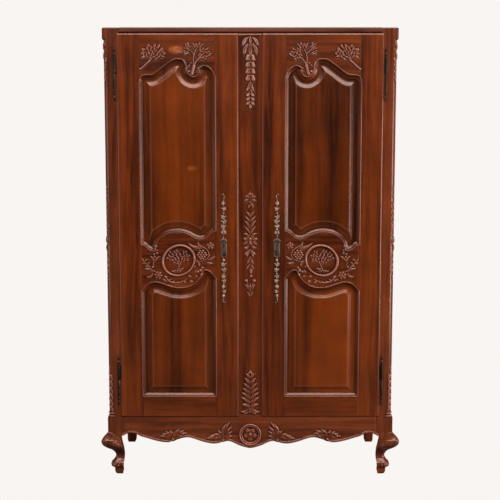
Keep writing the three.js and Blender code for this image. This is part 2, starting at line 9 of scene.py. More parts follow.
import bpy
import numpy as np
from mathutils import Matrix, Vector


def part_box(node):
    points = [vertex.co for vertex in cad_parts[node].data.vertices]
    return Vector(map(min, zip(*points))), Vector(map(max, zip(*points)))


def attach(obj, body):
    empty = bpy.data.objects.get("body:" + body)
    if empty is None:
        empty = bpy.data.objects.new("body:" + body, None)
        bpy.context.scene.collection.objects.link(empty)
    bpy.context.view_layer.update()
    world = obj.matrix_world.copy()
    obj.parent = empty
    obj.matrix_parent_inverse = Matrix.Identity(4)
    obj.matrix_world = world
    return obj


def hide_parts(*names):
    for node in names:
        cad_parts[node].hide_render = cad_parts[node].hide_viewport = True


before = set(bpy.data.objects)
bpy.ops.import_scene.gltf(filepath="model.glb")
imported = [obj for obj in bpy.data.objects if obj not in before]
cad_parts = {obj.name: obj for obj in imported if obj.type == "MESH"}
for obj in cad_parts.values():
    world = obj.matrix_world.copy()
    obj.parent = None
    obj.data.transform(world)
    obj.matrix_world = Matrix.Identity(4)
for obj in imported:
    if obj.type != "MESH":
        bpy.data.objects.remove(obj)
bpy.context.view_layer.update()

MM = 0.001
SIDES = {"left": -1, "right": 1}


# ------------------------------------------------------------------ places taken from the frame
def limits(node):
    """A CAD node's lowest and highest corners, in millimetres."""
    low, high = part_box(node)
    return np.array(low) / MM, np.array(high) / MM


FRONT = limits("apron_rail")[0][1]
BACK = limits("top_board")[1][1]
HEIGHT = limits("top_board")[1][2]
BOARD_BOTTOM = limits("top_board")[0][2]
DOOR_LOW, DOOR_HIGH = limits("right_door_hinge_stile")
DOOR_FACE, DOOR_BACK = DOOR_LOW[1], DOOR_HIGH[1]
DOOR_BOTTOM, DOOR_TOP = DOOR_LOW[2], DOOR_HIGH[2]
DOOR_OUT, DOOR_IN = DOOR_HIGH[0], limits("right_door_lock_stile")[0][0]
LIP = 9.0  # width of the lip that laps the frame
LIP_BACK = FRONT - 0.4
TOUCH = 0.3  # the gap kept to a neighbour that a piece touches


# ------------------------------------------------------------------ curves and outlines
def smooth(points, steps=8):
    """Points along a Catmull-Rom curve through the given ones."""
    points = np.asarray(points, float)
    ends = np.vstack([2 * points[0] - points[1], points, 2 * points[-1] - points[-2]])
    t = np.linspace(0, 1, steps, endpoint=False)[:, None]
    pieces = []
    for a, b, c, d in zip(ends, ends[1:], ends[2:], ends[3:]):
        bend = 2 * a - 5 * b + 4 * c - d
        twist = 3 * b - a - 3 * c + d
        pieces.append(0.5 * (2 * b + (c - a) * t + bend * t**2 + twist * t**3))
    return np.vstack([*pieces, points[-1:]])


def spiral(centre, start_radius, end_radius, start_angle, turns, steps=28):
    """Points along a volute that winds in from its start; turns below 0 wind clockwise."""
    t = np.linspace(0, 1, steps)
    radius = start_radius + (end_radius - start_radius) * t**0.8
    angle = math.radians(start_angle) + math.tau * turns * t
    return np.stack([centre[0] + radius * np.cos(angle), centre[1] + radius * np.sin(angle)], 1)


def bowed(start, end, bow, steps=10):
    """An arc-like path from start to end, bowed to the left of the way by bow times its length."""
    start, end = np.asarray(start, float), np.asarray(end, float)
    way = end - start
    left = np.array([-way[1], way[0]])
    t = np.linspace(0, 1, steps)[:, None]
    return start + way * t + left * bow * 4 * t * (1 - t)


def distance_inside(u, z, outline):
    """Distance from each point to a closed outline: positive inside it, negative outside."""
    nearest = np.full(u.shape, np.inf)
    inside = np.zeros(u.shape, bool)
    outline = np.asarray(outline, float)
    for (u0, z0), (u1, z1) in zip(outline, np.roll(outline, -1, axis=0)):
        du, dz = u1 - u0, z1 - z0
        if du == dz == 0:
            continue
        t = np.clip(((u - u0) * du + (z - z0) * dz) / (du * du + dz * dz), 0, 1)
        nearest = np.minimum(nearest, (u - u0 - t * du) ** 2 + (z - z0 - t * dz) ** 2)
        if dz:
            crosses = (z0 > z) != (z1 > z)
            inside ^= crosses & (u < u0 + (z - z0) * du / dz)
    return np.where(inside, 1, -1) * np.sqrt(nearest)


def lattice(low, high, fine, coarse, busy=(), stops=()):
    """Grid lines from low to high: fine steps inside the busy spans, coarse steps elsewhere."""
    inner = [v for span in busy for v in span] + list(stops)
    stops = sorted({low, high, *[v for v in inner if low < v < high]})
    lines = [np.array([low])]
    for a, b in zip(stops, stops[1:]):
        is_busy = any(start <= (a + b) / 2 <= end for start, end in busy)
        count = max(1, math.ceil((b - a) / (fine if is_busy else coarse)))
        lines.append(a + (b - a) * np.arange(1, count + 1) / count)
    return np.concatenate(lines)


# ------------------------------------------------------------------ carving on a lattice
def rounded(side, along):
    return np.sqrt(np.clip(1 - side**2, 0, 1))


def veined(side, along):
    """A leaf's surface: cushions either side of a sunk midrib, rising to a rolled tip."""
    cushion = np.clip(1 - side**2, 0, 1) ** 0.75
    midrib = 0.3 * np.exp(-((side / 0.17) ** 2))
    rolled = np.sqrt(np.clip((1 - along) / 0.16, 0, 1))
    return (cushion - midrib) * (0.42 + 0.62 * along) * rolled


def plump(side, along):
    """A petal's surface: full across, falling away towards its root."""
    return np.clip(1 - np.abs(side) ** 2.6, 0, 1) ** 0.6 * (0.5 + 0.5 * along)


def spread(places, width):
    """A matrix that evens out values at uneven places over a width."""
    gaps = places[:, None] - places[None]
    weights = np.exp(-0.5 * (gaps / width) ** 2) * np.gradient(places)
    return weights / weights.sum(1, keepdims=True)


class Relief:
    """Rises in millimetres over a lattice of reach (or any first coordinate) and height."""

    MOAT_WIDTH = 1.5
    NEAR, WIDE = 2.2, 6.0  # the widths over which wear and painted shading compare a point with its surroundings
    PLAIN_WEAR_AND_SHADE = 0.3  # the cap on a moulding's wear, painted shade and painted highlight, where nothing is carved

    def __init__(self, us, zs, ground=None):
        self.us, self.zs = us, zs
        self.u, self.z = np.meshgrid(us, zs, indexing="ij")
        self.height = np.zeros(self.u.shape) if ground is None else ground(self.u, self.z)
        self.ground = self.height.copy()
        self.rubbed = np.full(self.u.shape, -1.0)  # the least wear and painted highlight at each point, whatever its shape

    def middles(self):
        """The cells' middles."""
        across = (self.us[:-1] + self.us[1:]) / 2
        up = (self.zs[:-1] + self.zs[1:]) / 2
        return np.meshgrid(across, up, indexing="ij")

    def window(self, low, high):
        i = slice(*np.searchsorted(self.us, (low[0], high[0])))
        j = slice(*np.searchsorted(self.zs, (low[1], high[1])))
        return i, j

    def near(self, path, reach):
        """The window within reach of a path, with the signed distance to it and place along it."""
        path = np.asarray(path, float)
        window = self.window(path.min(0) - reach, path.max(0) + reach)
        u, z = self.u[window], self.z[window]
        nearest = np.full(u.shape, np.inf)
        signed, along = np.zeros(u.shape), np.zeros(u.shape)
        lengths = np.hypot(*np.diff(path, axis=0).T)
        total, run = max(lengths.sum(), 1e-9), 0.0
        for (u0, z0), (u1, z1), length in zip(path, path[1:], lengths):
            if length == 0:
                continue
            du, dz = (u1 - u0) / length, (z1 - z0) / length
            t = np.clip((u - u0) * du + (z - z0) * dz, 0, length)
            away = np.hypot(u - u0 - t * du, z - z0 - t * dz)
            closer = away < nearest
            nearest = np.where(closer, away, nearest)
            side = np.where(du * (z - z0) - dz * (u - u0) < 0, -1, 1)
            signed = np.where(closer, side * away, signed)
            along = np.where(closer, (run + t) / total, along)
            run += length
        return window, signed, along

    def press(self, window, edge, lift, moat):
        """Raises lift where edge is negative and cuts a narrow moat just outside it."""
        height, ground = self.height[window], self.ground[window]
        outside = height - moat * np.exp(-((edge / self.MOAT_WIDTH) ** 2))
        inside = np.maximum(height - 0.5 * moat, ground + lift)
        self.height[window] = np.where(edge < 0, inside, outside)

    def stroke(self, path, width, rise, shape=rounded, taper=(1, 1), moat=0.8):
        """A ridge along a path. Its width tapers to the given shares at its two ends."""
        window, signed, along = self.near(path, width / 2 + 4)
        share = np.interp(along, [0, 0.25, 0.75, 1], [taper[0], 1, 1, taper[1]])
        half = np.maximum(width / 2 * share, 0.3)
        side = np.clip(signed / half, -1, 1)
        lift = rise * shape(side, along) * np.sqrt(share)
        self.press(window, np.abs(signed) - half, lift, moat)

    def leaf(self, base, tip, width, rise, bow=0.0, lobes=0, moat=1.0, blunt=0.8):
        """A leaf from its base to its tip, with a sunk midrib and, if asked, lobed edges."""
        window, signed, along = self.near(bowed(base, tip, bow), width / 2 + 4)
        outline = np.sin(np.pi * np.clip(along, 0.02, 0.995) ** blunt) ** 0.8
        if lobes:
            outline = outline * (0.8 + 0.2 * np.abs(np.cos(np.pi * lobes * along)))
        half = np.maximum(width / 2 * outline, 0.25)
        side = np.clip(signed / half, -1, 1)
        flutes = 1.0
        if lobes:
            flutes = 0.85 + 0.15 * np.cos(2 * np.pi * (lobes * along - 0.6 * np.abs(side)))
        self.press(window, np.abs(signed) - half, rise * veined(side, along) * flutes, moat)

    def stem(self, points, width, rise, taper=(1, 0.5), **settings):
        """A ridge along a smooth curve through the given points."""
        self.stroke(smooth(points), width, rise, taper=taper, **settings)

    def leaves(self, *rows, **settings):
        """Leaves, one to a row of (base, tip, width, rise) and perhaps a bow."""
        for row in rows:
            self.leaf(*row, **settings)

    def pair(self, base, tip, width, rise, bow=0.0, **settings):
        """A leaf and its mirror image across the middle."""
        for side in (1, -1):
            self.leaf((side * base[0], base[1]), (side * tip[0], tip[1]), width, rise, side * bow,
                      **settings)

    def sink(self, outline, depth, ease):
        """Lowers the ground inside a closed outline, easing in over a distance from it."""
        window = self.window(outline.min(0), outline.max(0))
        inside = distance_inside(self.u[window], self.z[window], outline)
        share = np.clip(inside / ease, 0, 1)
        drop = depth * share * share * (3 - 2 * share)
        self.height[window] -= drop
        self.ground[window] -= drop

    def berry(self, centre, radius, rise, moat=0.9):
        centre = np.asarray(centre, float)
        window = self.window(centre - radius - 4, centre + radius + 4)
        away = np.hypot(self.u[window] - centre[0], self.z[window] - centre[1])
        dome = rise * np.sqrt(np.clip(1 - (away / radius) ** 2, 0, 1))
        self.press(window, away - radius, dome, moat)

    def berries(self, *rows, **settings):
        """Berries, one to a row of (centre, radius, rise)."""
        for row in rows:
            self.berry(*row, **settings)

    def flower(self, centre, radius, rise, petals=5, turn=0.0, heart=0.28):
        centre = np.asarray(centre, float)
        window = self.window(centre - radius - 4, centre + radius + 4)
        du, dz = self.u[window] - centre[0], self.z[window] - centre[1]
        away, angle = np.hypot(du, dz), np.arctan2(dz, du) - math.radians(turn)
        petal = np.abs(np.cos(petals * angle / 2))
        rim = radius * (0.55 + 0.45 * petal**0.7)
        share = np.clip(away / rim, 0, 1)
        cup = np.sqrt(np.clip(1 - share**3, 0, 1)) * (0.45 + 0.55 * share) * (0.6 + 0.4 * petal)
        self.press(window, away - rim, rise * cup, 1.0)
        self.berry(centre, radius * heart, rise * 1.05, 0.7)

    def husk(self, foot, half_width, length, rise):
        """A cup of two broad petals and a narrow one that hangs with its lips at its foot."""
        u, z = foot
        for turn in (1, -1):
            petal = [(u + turn * 5, z + length), (u + turn * half_width * 0.52, z + half_width * 0.4)]
            self.stroke(np.array(petal), half_width * 0.98, rise, plump, taper=(0.4, 1), moat=1.5)
        self.leaf((u, z + length * 0.4), (u, z - 6), half_width * 0.34, rise, blunt=1.6, moat=0.6)

    def foliage(self, centre, radii, root, count, size, rise, seed):
        """Plump leaves spread over an ellipse, each pointing away from the root."""
        rng = np.random.default_rng(seed)
        root = np.asarray(root, float)
        placed = []
        for k in range(count):
            share = math.sqrt((k + 0.6) / count)
            angle = k * math.pi * (3 - math.sqrt(5)) + rng.uniform(-0.15, 0.15)
            u = centre[0] + radii[0] * share * math.cos(angle)
            z = centre[1] + radii[1] * share * math.sin(angle)
            placed.append((u, z))
        for u, z in sorted(placed, key=lambda p: math.hypot(p[0] - root[0], p[1] - root[1])):
            way = np.array([(u - root[0]) * 1.5, z - root[1]])
            heading = math.atan2(way[1], way[0]) + rng.uniform(-0.4, 0.4)
            half = size * rng.uniform(0.42, 0.56) * np.array([math.cos(heading), math.sin(heading)])
            middle = np.array([u, z])
            self.leaf(middle - half, middle + half, size * 0.62, rise * rng.uniform(0.8, 1.15),
                      moat=1.6, blunt=1.0)

    def wear_and_shading(self):
        """How worn and how lit each point is painted: 1 on ridges, rubbed and given a painted highlight, 0
        on the flat and -1 in deep hollows, waxed and given painted shade.
        """
        near, wide = (spread(self.us, width) @ self.height @ spread(self.zs, width).T
                      for width in (self.NEAR, self.WIDE))
        carved = np.abs(self.height - self.ground) > 0.05
        # Above the nearby average: rubbed and painted as lit. Below it: waxed and painted as in shade.
        worn_and_shaded = (self.height - near) / 1.7 + (near - wide) / 2.6
        reach = np.where(carved, 1, self.PLAIN_WEAR_AND_SHADE)
        return np.maximum(np.clip(worn_and_shaded, -reach, reach), self.rubbed)


# ------------------------------------------------------------------ meshes
# Chips and rubbed places on the front: (across, height, half width, half height).
BARE_SPOTS = [(-322, 1902, 36, 21), (-315, 281, 4, 2.5), (-446, 171, 4, 3), (-369, 233, 3, 2.5),
              (-335, 249, 2.5, 2.5), (-668, 157, 7, 6), (-257, 1393, 26, 2), (-340, 279, 3, 2)]


def bareness(points):
    """How bare of varnish each point is, from 0 to 1."""
    bare = np.zeros(len(points))
    for across, up, half_width, half_height in BARE_SPOTS:
        away = ((points[:, 0] - across) / half_width) ** 2 + ((points[:, 2] - up) / half_height) ** 2
        bare = np.maximum(bare, np.clip(1.25 - away, 0, 1))
    return np.where(points[:, 1] < FRONT + 2, bare, 0)


def turned_outwards(points, quads, polygons):
    """A closed mesh's faces, all reversed if they point inwards."""
    a, b, c, d = (points[quads[:, k]] for k in range(4))
    volume = (a * np.cross(b, c)).sum() + (a * np.cross(c, d)).sum()
    for polygon in polygons:
        a, b, c = points[polygon[0]], points[polygon[1:-1]], points[polygon[2:]]
        volume += (a * np.cross(b, c)).sum()
    if volume < 0:
        return quads[:, ::-1], [polygon[::-1] for polygon in polygons]
    return quads, polygons


def mesh_object(name, points, quads, polygons=(), wear_and_shading=None, sharp=40):
    """A mesh from points in millimetres, with its wear and painted shading and its bareness at each point.
    """
    points = np.asarray(points, float)
    bare = bareness(points)
    points = points * MM
    quads, polygons = turned_outwards(points, quads, [np.asarray(p) for p in polygons])
    counts = np.array([4] * len(quads) + [len(p) for p in polygons], np.int32)
    corners = np.concatenate([quads.ravel(), *polygons]).astype(np.int32)
    mesh = bpy.data.meshes.new(name)
    mesh.vertices.add(len(points))
    mesh.vertices.foreach_set("co", points.ravel().astype(np.float32))
    mesh.loops.add(len(corners))
    mesh.loops.foreach_set("vertex_index", corners)
    mesh.polygons.add(len(counts))
    mesh.polygons.foreach_set("loop_start", np.cumsum(counts, dtype=np.int32) - counts)
    mesh.update(calc_edges=True)
    mesh.polygons.foreach_set("use_smooth", np.ones(len(counts), bool))
    mesh.set_sharp_from_angle(angle=math.radians(sharp))
    wear_and_shading = np.zeros(len(points)) if wear_and_shading is None else wear_and_shading
    for layer_name, values in (("wear_and_shading", wear_and_shading), ("bare", bare)):
        layer = mesh.attributes.new(layer_name, "FLOAT", "POINT")
        layer.data.foreach_set("value", np.asarray(values, np.float32))
    piece = bpy.data.objects.new(name, mesh)
    bpy.context.scene.collection.objects.link(piece)
    return piece


def boundary_loops(kept):
    """The closed loops of lattice corners around the kept cells, anticlockwise."""
    inner = np.pad(kept, 1)
    following = {}
    for i, j in zip(*(v.tolist() for v in np.nonzero(kept))):
        if not inner[i + 1, j]:
            following[(i, j)] = (i + 1, j)
        if not inner[i + 2, j + 1]:
            following[(i + 1, j)] = (i + 1, j + 1)
        if not inner[i + 1, j + 2]:
            following[(i + 1, j + 1)] = (i, j + 1)
        if not inner[i, j + 1]:
            following[(i, j + 1)] = (i, j)
    loops = []
    while following:
        start, corner = following.popitem()
        loop = [start]
        while corner != start:
            loop.append(corner)
            corner = following.pop(corner)
        loops.append(np.array(loop))
    return loops


def without_pinches(kept):
    """Drops cells that touch the rest only at a corner, or stand alone."""
    kept = kept.copy()
    for _ in range(6):
        wide = np.pad(kept, 1)
        middle = wide[1:-1, 1:-1]
        loose = middle & ((wide[:-2, 1:-1].astype(int) + wide[2:, 1:-1] + wide[1:-1, :-2]
                           + wide[1:-1, 2:]) < 2)
        kept &= ~loose
        wide = np.pad(kept, 1)
        for di, dj in ((1, 1), (1, -1)):
            beside, above = wide[1 + di:][:kept.shape[0], 1:-1], wide[1:-1, 1 + dj:][:, :kept.shape[1]]
            corner = wide[1 + di:, 1 + dj:][:kept.shape[0], :kept.shape[1]]
            kept &= ~(kept & corner & ~beside & ~above)
    return kept


SNAP_WITHIN, SNAP_MOST = 2.0, 2.5


def snapped(relief, loop, level):
    """The loop's places, moved onto the line where level is zero if they lie close to it."""
    slope_u, slope_z = np.gradient(level, relief.us, relief.zs)
    i, j = loop.T
    steepness = np.maximum(slope_u[i, j] ** 2 + slope_z[i, j] ** 2, 0.05)
    shift = np.clip(-level[i, j] / steepness, -SNAP_MOST, SNAP_MOST)
    close = np.abs(level[i, j]) < SNAP_WITHIN
    u = relief.u[i, j] + np.where(close, shift * slope_u[i, j], 0)
    z = relief.z[i, j] + np.where(close, shift * slope_z[i, j], 0)
    return u, z


def numbered_cells(relief, kept):
    """Which lattice corners the kept cells use, the corners' numbers, and the cells as quads."""
    used = np.zeros(relief.u.shape, bool)
    for di in (0, 1):
        for dj in (0, 1):
            used[di:kept.shape[0] + di, dj:kept.shape[1] + dj] |= kept
    index = np.full(used.shape, -1)
    index[used] = np.arange(used.sum())
    i, j = np.nonzero(kept)
    return used, index, np.stack([index[i, j], index[i + 1, j], index[i + 1, j + 1], index[i, j + 1]], 1)


def step_down(ring, ring_points, lower_points, count):
    """The next ring of a skirt, and the faces down to it. A corner that stays put is shared."""
    moved = np.abs(lower_points - ring_points).max(1) > 1e-6
    lower = ring.copy()
    lower[moved] = count + np.arange(moved.sum())
    faces = np.stack([np.roll(ring, -1), ring, lower, np.roll(lower, -1)], 1)
    whole = faces[moved & np.roll(moved, -1)]
    narrowed = [list(dict.fromkeys(corners)) for corners in faces[moved ^ np.roll(moved, -1)]]
    return lower, moved, whole, narrowed


def relief_solid(name, relief, kept, place, skirt, level=None):
    """A closed solid with a carved front over the kept cells and a flat back.

    place turns (reach, height, rise) into points. skirt lists the steps from the front's edge to
    the back as (rise, tuck), where tuck moves the edge's (u, z) inwards, as for a rebate.
    """
    kept = without_pinches(kept)
    used, index, front = numbered_cells(relief, kept)
    quads = [front]
    us, zs, rises = relief.u.copy(), relief.z.copy(), relief.height
    loops = boundary_loops(kept)
    if level is not None:
        for loop in loops:
            us[tuple(loop.T)], zs[tuple(loop.T)] = snapped(relief, loop, level)
    points = [place(us[used], zs[used], rises[used])]
    wear_and_shading = [relief.wear_and_shading()[used]]
    count, polygons = used.sum(), []
    for loop in loops:
        u, z = us[tuple(loop.T)], zs[tuple(loop.T)]
        ring, ring_points = index[tuple(loop.T)], place(u, z, rises[tuple(loop.T)])
        for rise, tuck in skirt:
            u, z = tuck(u, z)
            lower_points = place(u, z, np.full(u.shape, float(rise)))
            ring, moved, whole, narrowed = step_down(ring, ring_points, lower_points, count)
            ring_points = lower_points
            count += moved.sum()
            points.append(lower_points[moved])
            wear_and_shading.append(np.zeros(moved.sum()))
            quads.append(whole)
            polygons += narrowed
        polygons.append(ring[::-1])
    return mesh_object(name, np.vstack(points), np.vstack(quads), polygons, np.concatenate(wear_and_shading))


def flat(u, z):
    return u, z


def turned(name, profile, place, segments=32):
    """A turned piece from (radius, height) pairs that start and end on its axis."""
    profile = np.asarray(profile, float)
    inner = profile[1:-1]
    turn = np.linspace(0, math.tau, segments, endpoint=False)
    a = np.concatenate([[0], (inner[:, :1] * np.cos(turn)).ravel(), [0]])
    b = np.concatenate([[0], (inner[:, :1] * np.sin(turn)).ravel(), [0]])
    h = np.concatenate([profile[:1, 1], np.repeat(inner[:, 1], segments), profile[-1:, 1]])
    k = np.arange(segments)
    following = (k + 1) % segments
    quads = [1 + r * segments + np.stack([k, following, segments + following, segments + k], 1)
             for r in range(len(inner) - 1)]
    end = 1 + (len(inner) - 1) * segments
    polygons = [[0, 1 + b, 1 + a] for a, b in zip(k, following)]
    polygons += [[len(a) - 1, end + c, end + d] for c, d in zip(k, following)]
    return mesh_object(name, place(a, b, h), np.vstack(quads), polygons)


def cast_solid(name, relief, kept, place):
    """A closed casting of the kept cells, which may leave holes, with a flat back at rise 0."""
    kept = without_pinches(kept)
    used, index, front = numbered_cells(relief, kept)
    count = used.sum()
    quads = [front, front[:, ::-1] + count]
    for loop in boundary_loops(kept):
        ring = index[tuple(loop.T)]
        following = np.roll(ring, -1)
        quads.append(np.stack([following, ring, ring + count, following + count], 1))
    u, z, rise = relief.u[used], relief.z[used], relief.height[used]
    points = np.vstack([place(u, z, rise), place(u, z, np.zeros(count))])
    wear_and_shading = np.concatenate([np.clip(rise / 2.2 - 0.8, -1, 1), np.full(count, -1.0)])
    return mesh_object(name, points, np.vstack(quads), (), wear_and_shading)


def lofted(name, sections, wear_and_shading=None, sharp=40):
    """A closed solid through a stack of loops, given as an array of levels, points and axes."""
    levels, around, _ = sections.shape
    k = np.arange(around)
    following = (k + 1) % around
    quads = [np.stack([r * around + k, r * around + following,
                       (r + 1) * around + following, (r + 1) * around + k], 1)
             for r in range(levels - 1)]
    caps = [k[::-1], (levels - 1) * around + k]
    return mesh_object(name, sections.reshape(-1, 3), np.vstack(quads), caps, wear_and_shading, sharp)


def prism(name, outline, place, low, high):
    """A solid of one outline between two levels."""
    u, v = np.asarray(outline, float).T
    return lofted(name, np.stack([place(u, v, np.full(len(u), level)) for level in (low, high)]), sharp=30)


def board(name, low, high, round_off=1.5, segments=2):
    """A plain board with eased edges."""
    low, high = np.asarray(low, float), np.asarray(high, float)
    corners = np.array([[x, y, z] for x in (0, 1) for y in (0, 1) for z in (0, 1)])
    points = low + (high - low) * corners
    quads = np.array([[0, 1, 3, 2], [4, 6, 7, 5], [0, 4, 5, 1], [2, 3, 7, 6], [0, 2, 6, 4],
                      [1, 5, 7, 3]])
    return soften(mesh_object(name, points, quads), round_off, segments)


def soften(piece, width, segments=2):
    ease = piece.modifiers.new("eased_edges", "BEVEL")
    ease.width = width * MM
    ease.segments = segments
    ease.harden_normals = True
    return piece


def apply_modifiers(piece):
    graph = bpy.context.evaluated_depsgraph_get()
    shaped = bpy.data.meshes.new_from_object(piece.evaluated_get(graph), depsgraph=graph)
    piece.modifiers.clear()
    piece.data = shaped


def pocketed(piece, low, high):
    """Cuts a box-shaped pocket, given by two corners, out of a piece."""
    cutter = board("cutter", low, high, 0.05, 1)
    cut = piece.modifiers.new("pocket", "BOOLEAN")
    cut.operation = "DIFFERENCE"
    cut.solver = "EXACT"
    cut.object = cutter
    apply_modifiers(piece)
    bpy.data.objects.remove(cutter)
    return piece


def join(name, pieces):
    """Makes one piece of several closed parts, with their modifiers applied."""
    for piece in pieces:
        if piece.modifiers:
            apply_modifiers(piece)
    with bpy.context.temp_override(active_object=pieces[0], selected_editable_objects=pieces):
        bpy.ops.object.join()
    pieces[0].name = name
    return pieces[0]



# ------------------------------------------------------------------ the doors
STILE_EDGE, LOCK_EDGE = 482.0, 156.0  # the openings' upright edges
SILL = 371.0
MOULDING_WIDTH = 16.0
PANEL_TONGUE = 8.0  # how far inside the opening's edge the panel's hidden rim starts
FRAME_THICKNESS = DOOR_BACK - DOOR_FACE
PANEL_BACK = 16.0
LIP_THICKNESS = LIP_BACK - DOOR_FACE
BOLT_ROOM, BOLT_PLAY = 14.0, 0.6  # the room behind each lock's bolt and round it
EASED_EDGE = ([0, 1.2, 5.5], [-2.8, -1.5, 0])  # rise against distance from the door's edge
EASED_WIDTH = 7.0  # the outer edge's band of fine lattice
FINE, COARSE = 1.35, 16.0

# Rise against distance inside the opening: a quirked bead, then a slope down to the panel.
BEAD_AND_SLOPE = ([-8, -7, -6.3, -5.6, -4.4, -3, -1.4, -0.2, 1.0, 3.4, 13, 14.4, 16],
                  [0, -0.8, 0.3, 1.6, 2.5, 2.9, 2.4, 1.2, -1.2, -4.4, -9.8, -10.3, -10.5])
# The same for the raised panel: a flat margin, a bevel and a small step up to the field.
RAISED_FIELD = ([8, 16, 26, 29, 32, 42.5, 43.5, 45],
                [-9.6, -9.6, -9.5, -9.0, -8.0, -4.0, -3.2, -3.0])


def upper_opening():
    """The edge round the upper panel, clockwise from the scroll at its lower hinge corner."""
    scroll = [(482, 1056), (471, 1056), (455, 1041), (434, 1031), (426, 1034)]
    foot = [(425, 1038), (423, 1052), (413, 1075), (395, 1091), (368, 1107), (337, 1114), (303, 1113),
            (272, 1103), (244, 1088), (223, 1083), (199, 1088), (181, 1104), (167, 1114), (156, 1118)]
    shoulder = [(156, 1787), (160, 1798), (169, 1813), (183, 1826), (200, 1833), (214, 1829),
                (226, 1823)]
    basket = [(226, 1823), (219, 1813), (223, 1802), (234, 1789), (250, 1785), (265, 1791),
              (276, 1804), (282, 1820), (280, 1833)]
    head = [(281, 1836), (286, 1847), (296, 1858), (311, 1862), (334, 1859), (356, 1846), (383, 1826),
            (405, 1809), (426, 1796), (444, 1794), (461, 1793), (472, 1789), (480, 1780), (482, 1769)]
    return np.vstack([smooth(path, 5) for path in (scroll, foot, shoulder, basket, head)])


def lower_opening():
    """The edge round the lower panel: two arches over a plain rectangle."""
    long_arch = [(482, 847), (468, 865), (444, 882), (415, 885), (384, 876), (345, 863), (313, 860),
                 (279, 864), (250, 878), (229, 897), (216, 915), (212, 925)]
    short_arch = [(210, 930), (205, 938), (192, 939), (174, 926), (156, 905)]
    feet = [(LOCK_EDGE, SILL), (STILE_EDGE, SILL)]
    return np.vstack([smooth(long_arch, 5), smooth(short_arch, 5), feet])


OPENINGS = {"upper": upper_opening(), "lower": lower_opening()}
OPENING_SPANS = {"upper": (1031, 1862), "lower": (SILL, 939)}
# Where each upright moulding runs straight, and so belongs to the stile.
STRAIGHTS = {"hinge": [(SILL, 847), (1056, 1769)], "lock": [(SILL, 905), (1118, 1787)]}


def opening_distance(u, z):
    """Distance inside the nearer of a door's two openings."""
    inside = np.full(u.shape, -99.0)
    for name, (low, high) in OPENING_SPANS.items():
        close = np.nonzero((z.min(0) < high + 12) & (z.max(0) > low - 12))[0]
        if close.size:
            rows = slice(close[0], close[-1] + 1)
            found = distance_inside(u[:, rows], z[:, rows], OPENINGS[name])
            inside[:, rows] = np.maximum(inside[:, rows], found)
    return inside


def edge_distance(u, z):
    """Distance in from the door's nearest outer edge."""
    sides = np.minimum(DOOR_OUT - u, u - DOOR_IN)
    return np.minimum(sides, np.minimum(DOOR_TOP - z, z - DOOR_BOTTOM))


def rub_and_highlight_edges(relief):
    """Paints a pale band along the door's outer edges: varnish rubbed thin there, and a painted highlight
    where the edges catch the light.
    """
    share = np.clip(1 - np.abs(edge_distance(relief.u, relief.z) - 2.2) / 2.2, 0, 1)
    relief.rubbed = np.where(share > 0, 0.65 * share, -1.0)


def frame_ground(u, z):
    """The door frame's face: mouldings round the openings, joint lines and a bevelled edge."""
    inside = opening_distance(u, z)
    height = np.interp(inside, *BEAD_AND_SLOPE)
    height += np.interp(edge_distance(u, z), *EASED_EDGE)
    seam = np.minimum(np.abs(u - STILE_EDGE), np.abs(u - LOCK_EDGE))
    return height - np.where(inside < -9, 0.7 * np.clip(1 - seam / 0.9, 0, 1), 0)


def panel_ground(u, z):
    """A raised panel's face."""
    return np.interp(opening_distance(u, z), *RAISED_FIELD)


def on_door(side):
    """Turns (reach, height, rise) on a door into points."""
    return lambda u, z, rise: np.stack([side * u, DOOR_FACE - rise, z], -1)


def rebate(u, z):
    """The door's edge inside its lip."""
    return np.clip(u, DOOR_IN + LIP, DOOR_OUT - LIP), np.clip(z, DOOR_BOTTOM + LIP, DOOR_TOP - LIP)


DOOR_SKIRT = [(-LIP_THICKNESS, flat), (-LIP_THICKNESS, rebate), (-FRAME_THICKNESS, rebate)]


def stile(name, side, kind):
    """A door stile with its upright mouldings."""
    spans = STRAIGHTS[kind]
    ends = [v for span in spans for v in span]
    busy = [(v - 24, v + 24) for v in ends]
    busy += [(DOOR_BOTTOM, DOOR_BOTTOM + EASED_WIDTH), (DOOR_TOP - EASED_WIDTH, DOOR_TOP)]
    zs = lattice(DOOR_BOTTOM, DOOR_TOP, 1.6, 40, busy, ends)
    if kind == "hinge":
        inner, edge, outer = STILE_EDGE - MOULDING_WIDTH, STILE_EDGE, DOOR_OUT
        us = lattice(inner, outer, 1.1, 12, [(inner, edge + 11), (outer - EASED_WIDTH, outer)], [edge])
    else:
        inner, edge, outer = LOCK_EDGE + MOULDING_WIDTH, LOCK_EDGE, DOOR_IN
        us = lattice(outer, inner, 1.1, 12, [(outer, outer + EASED_WIDTH), (edge - 11, inner)], [edge])
    relief = Relief(us, zs, frame_ground)
    rub_and_highlight_edges(relief)
    u, z = relief.middles()
    kept = np.abs(u - outer) < abs(edge - outer)
    for low, high in spans:
        kept |= (z > low) & (z < high)
    return relief_solid(name, relief, kept, on_door(side), DOOR_SKIRT)


def bolt_pocket(shape, side):
    """Cuts the lock stile's pocket for the bolt, out through its edge."""
    low, high = limits("right_lock_bolt")
    near = (side * (low[0] - BOLT_ROOM), low[1] - BOLT_PLAY, low[2] - BOLT_PLAY)
    far = (side * (high[0] + BOLT_PLAY), high[1] + BOLT_PLAY, high[2] + BOLT_PLAY)
    return pocketed(shape, near, far)


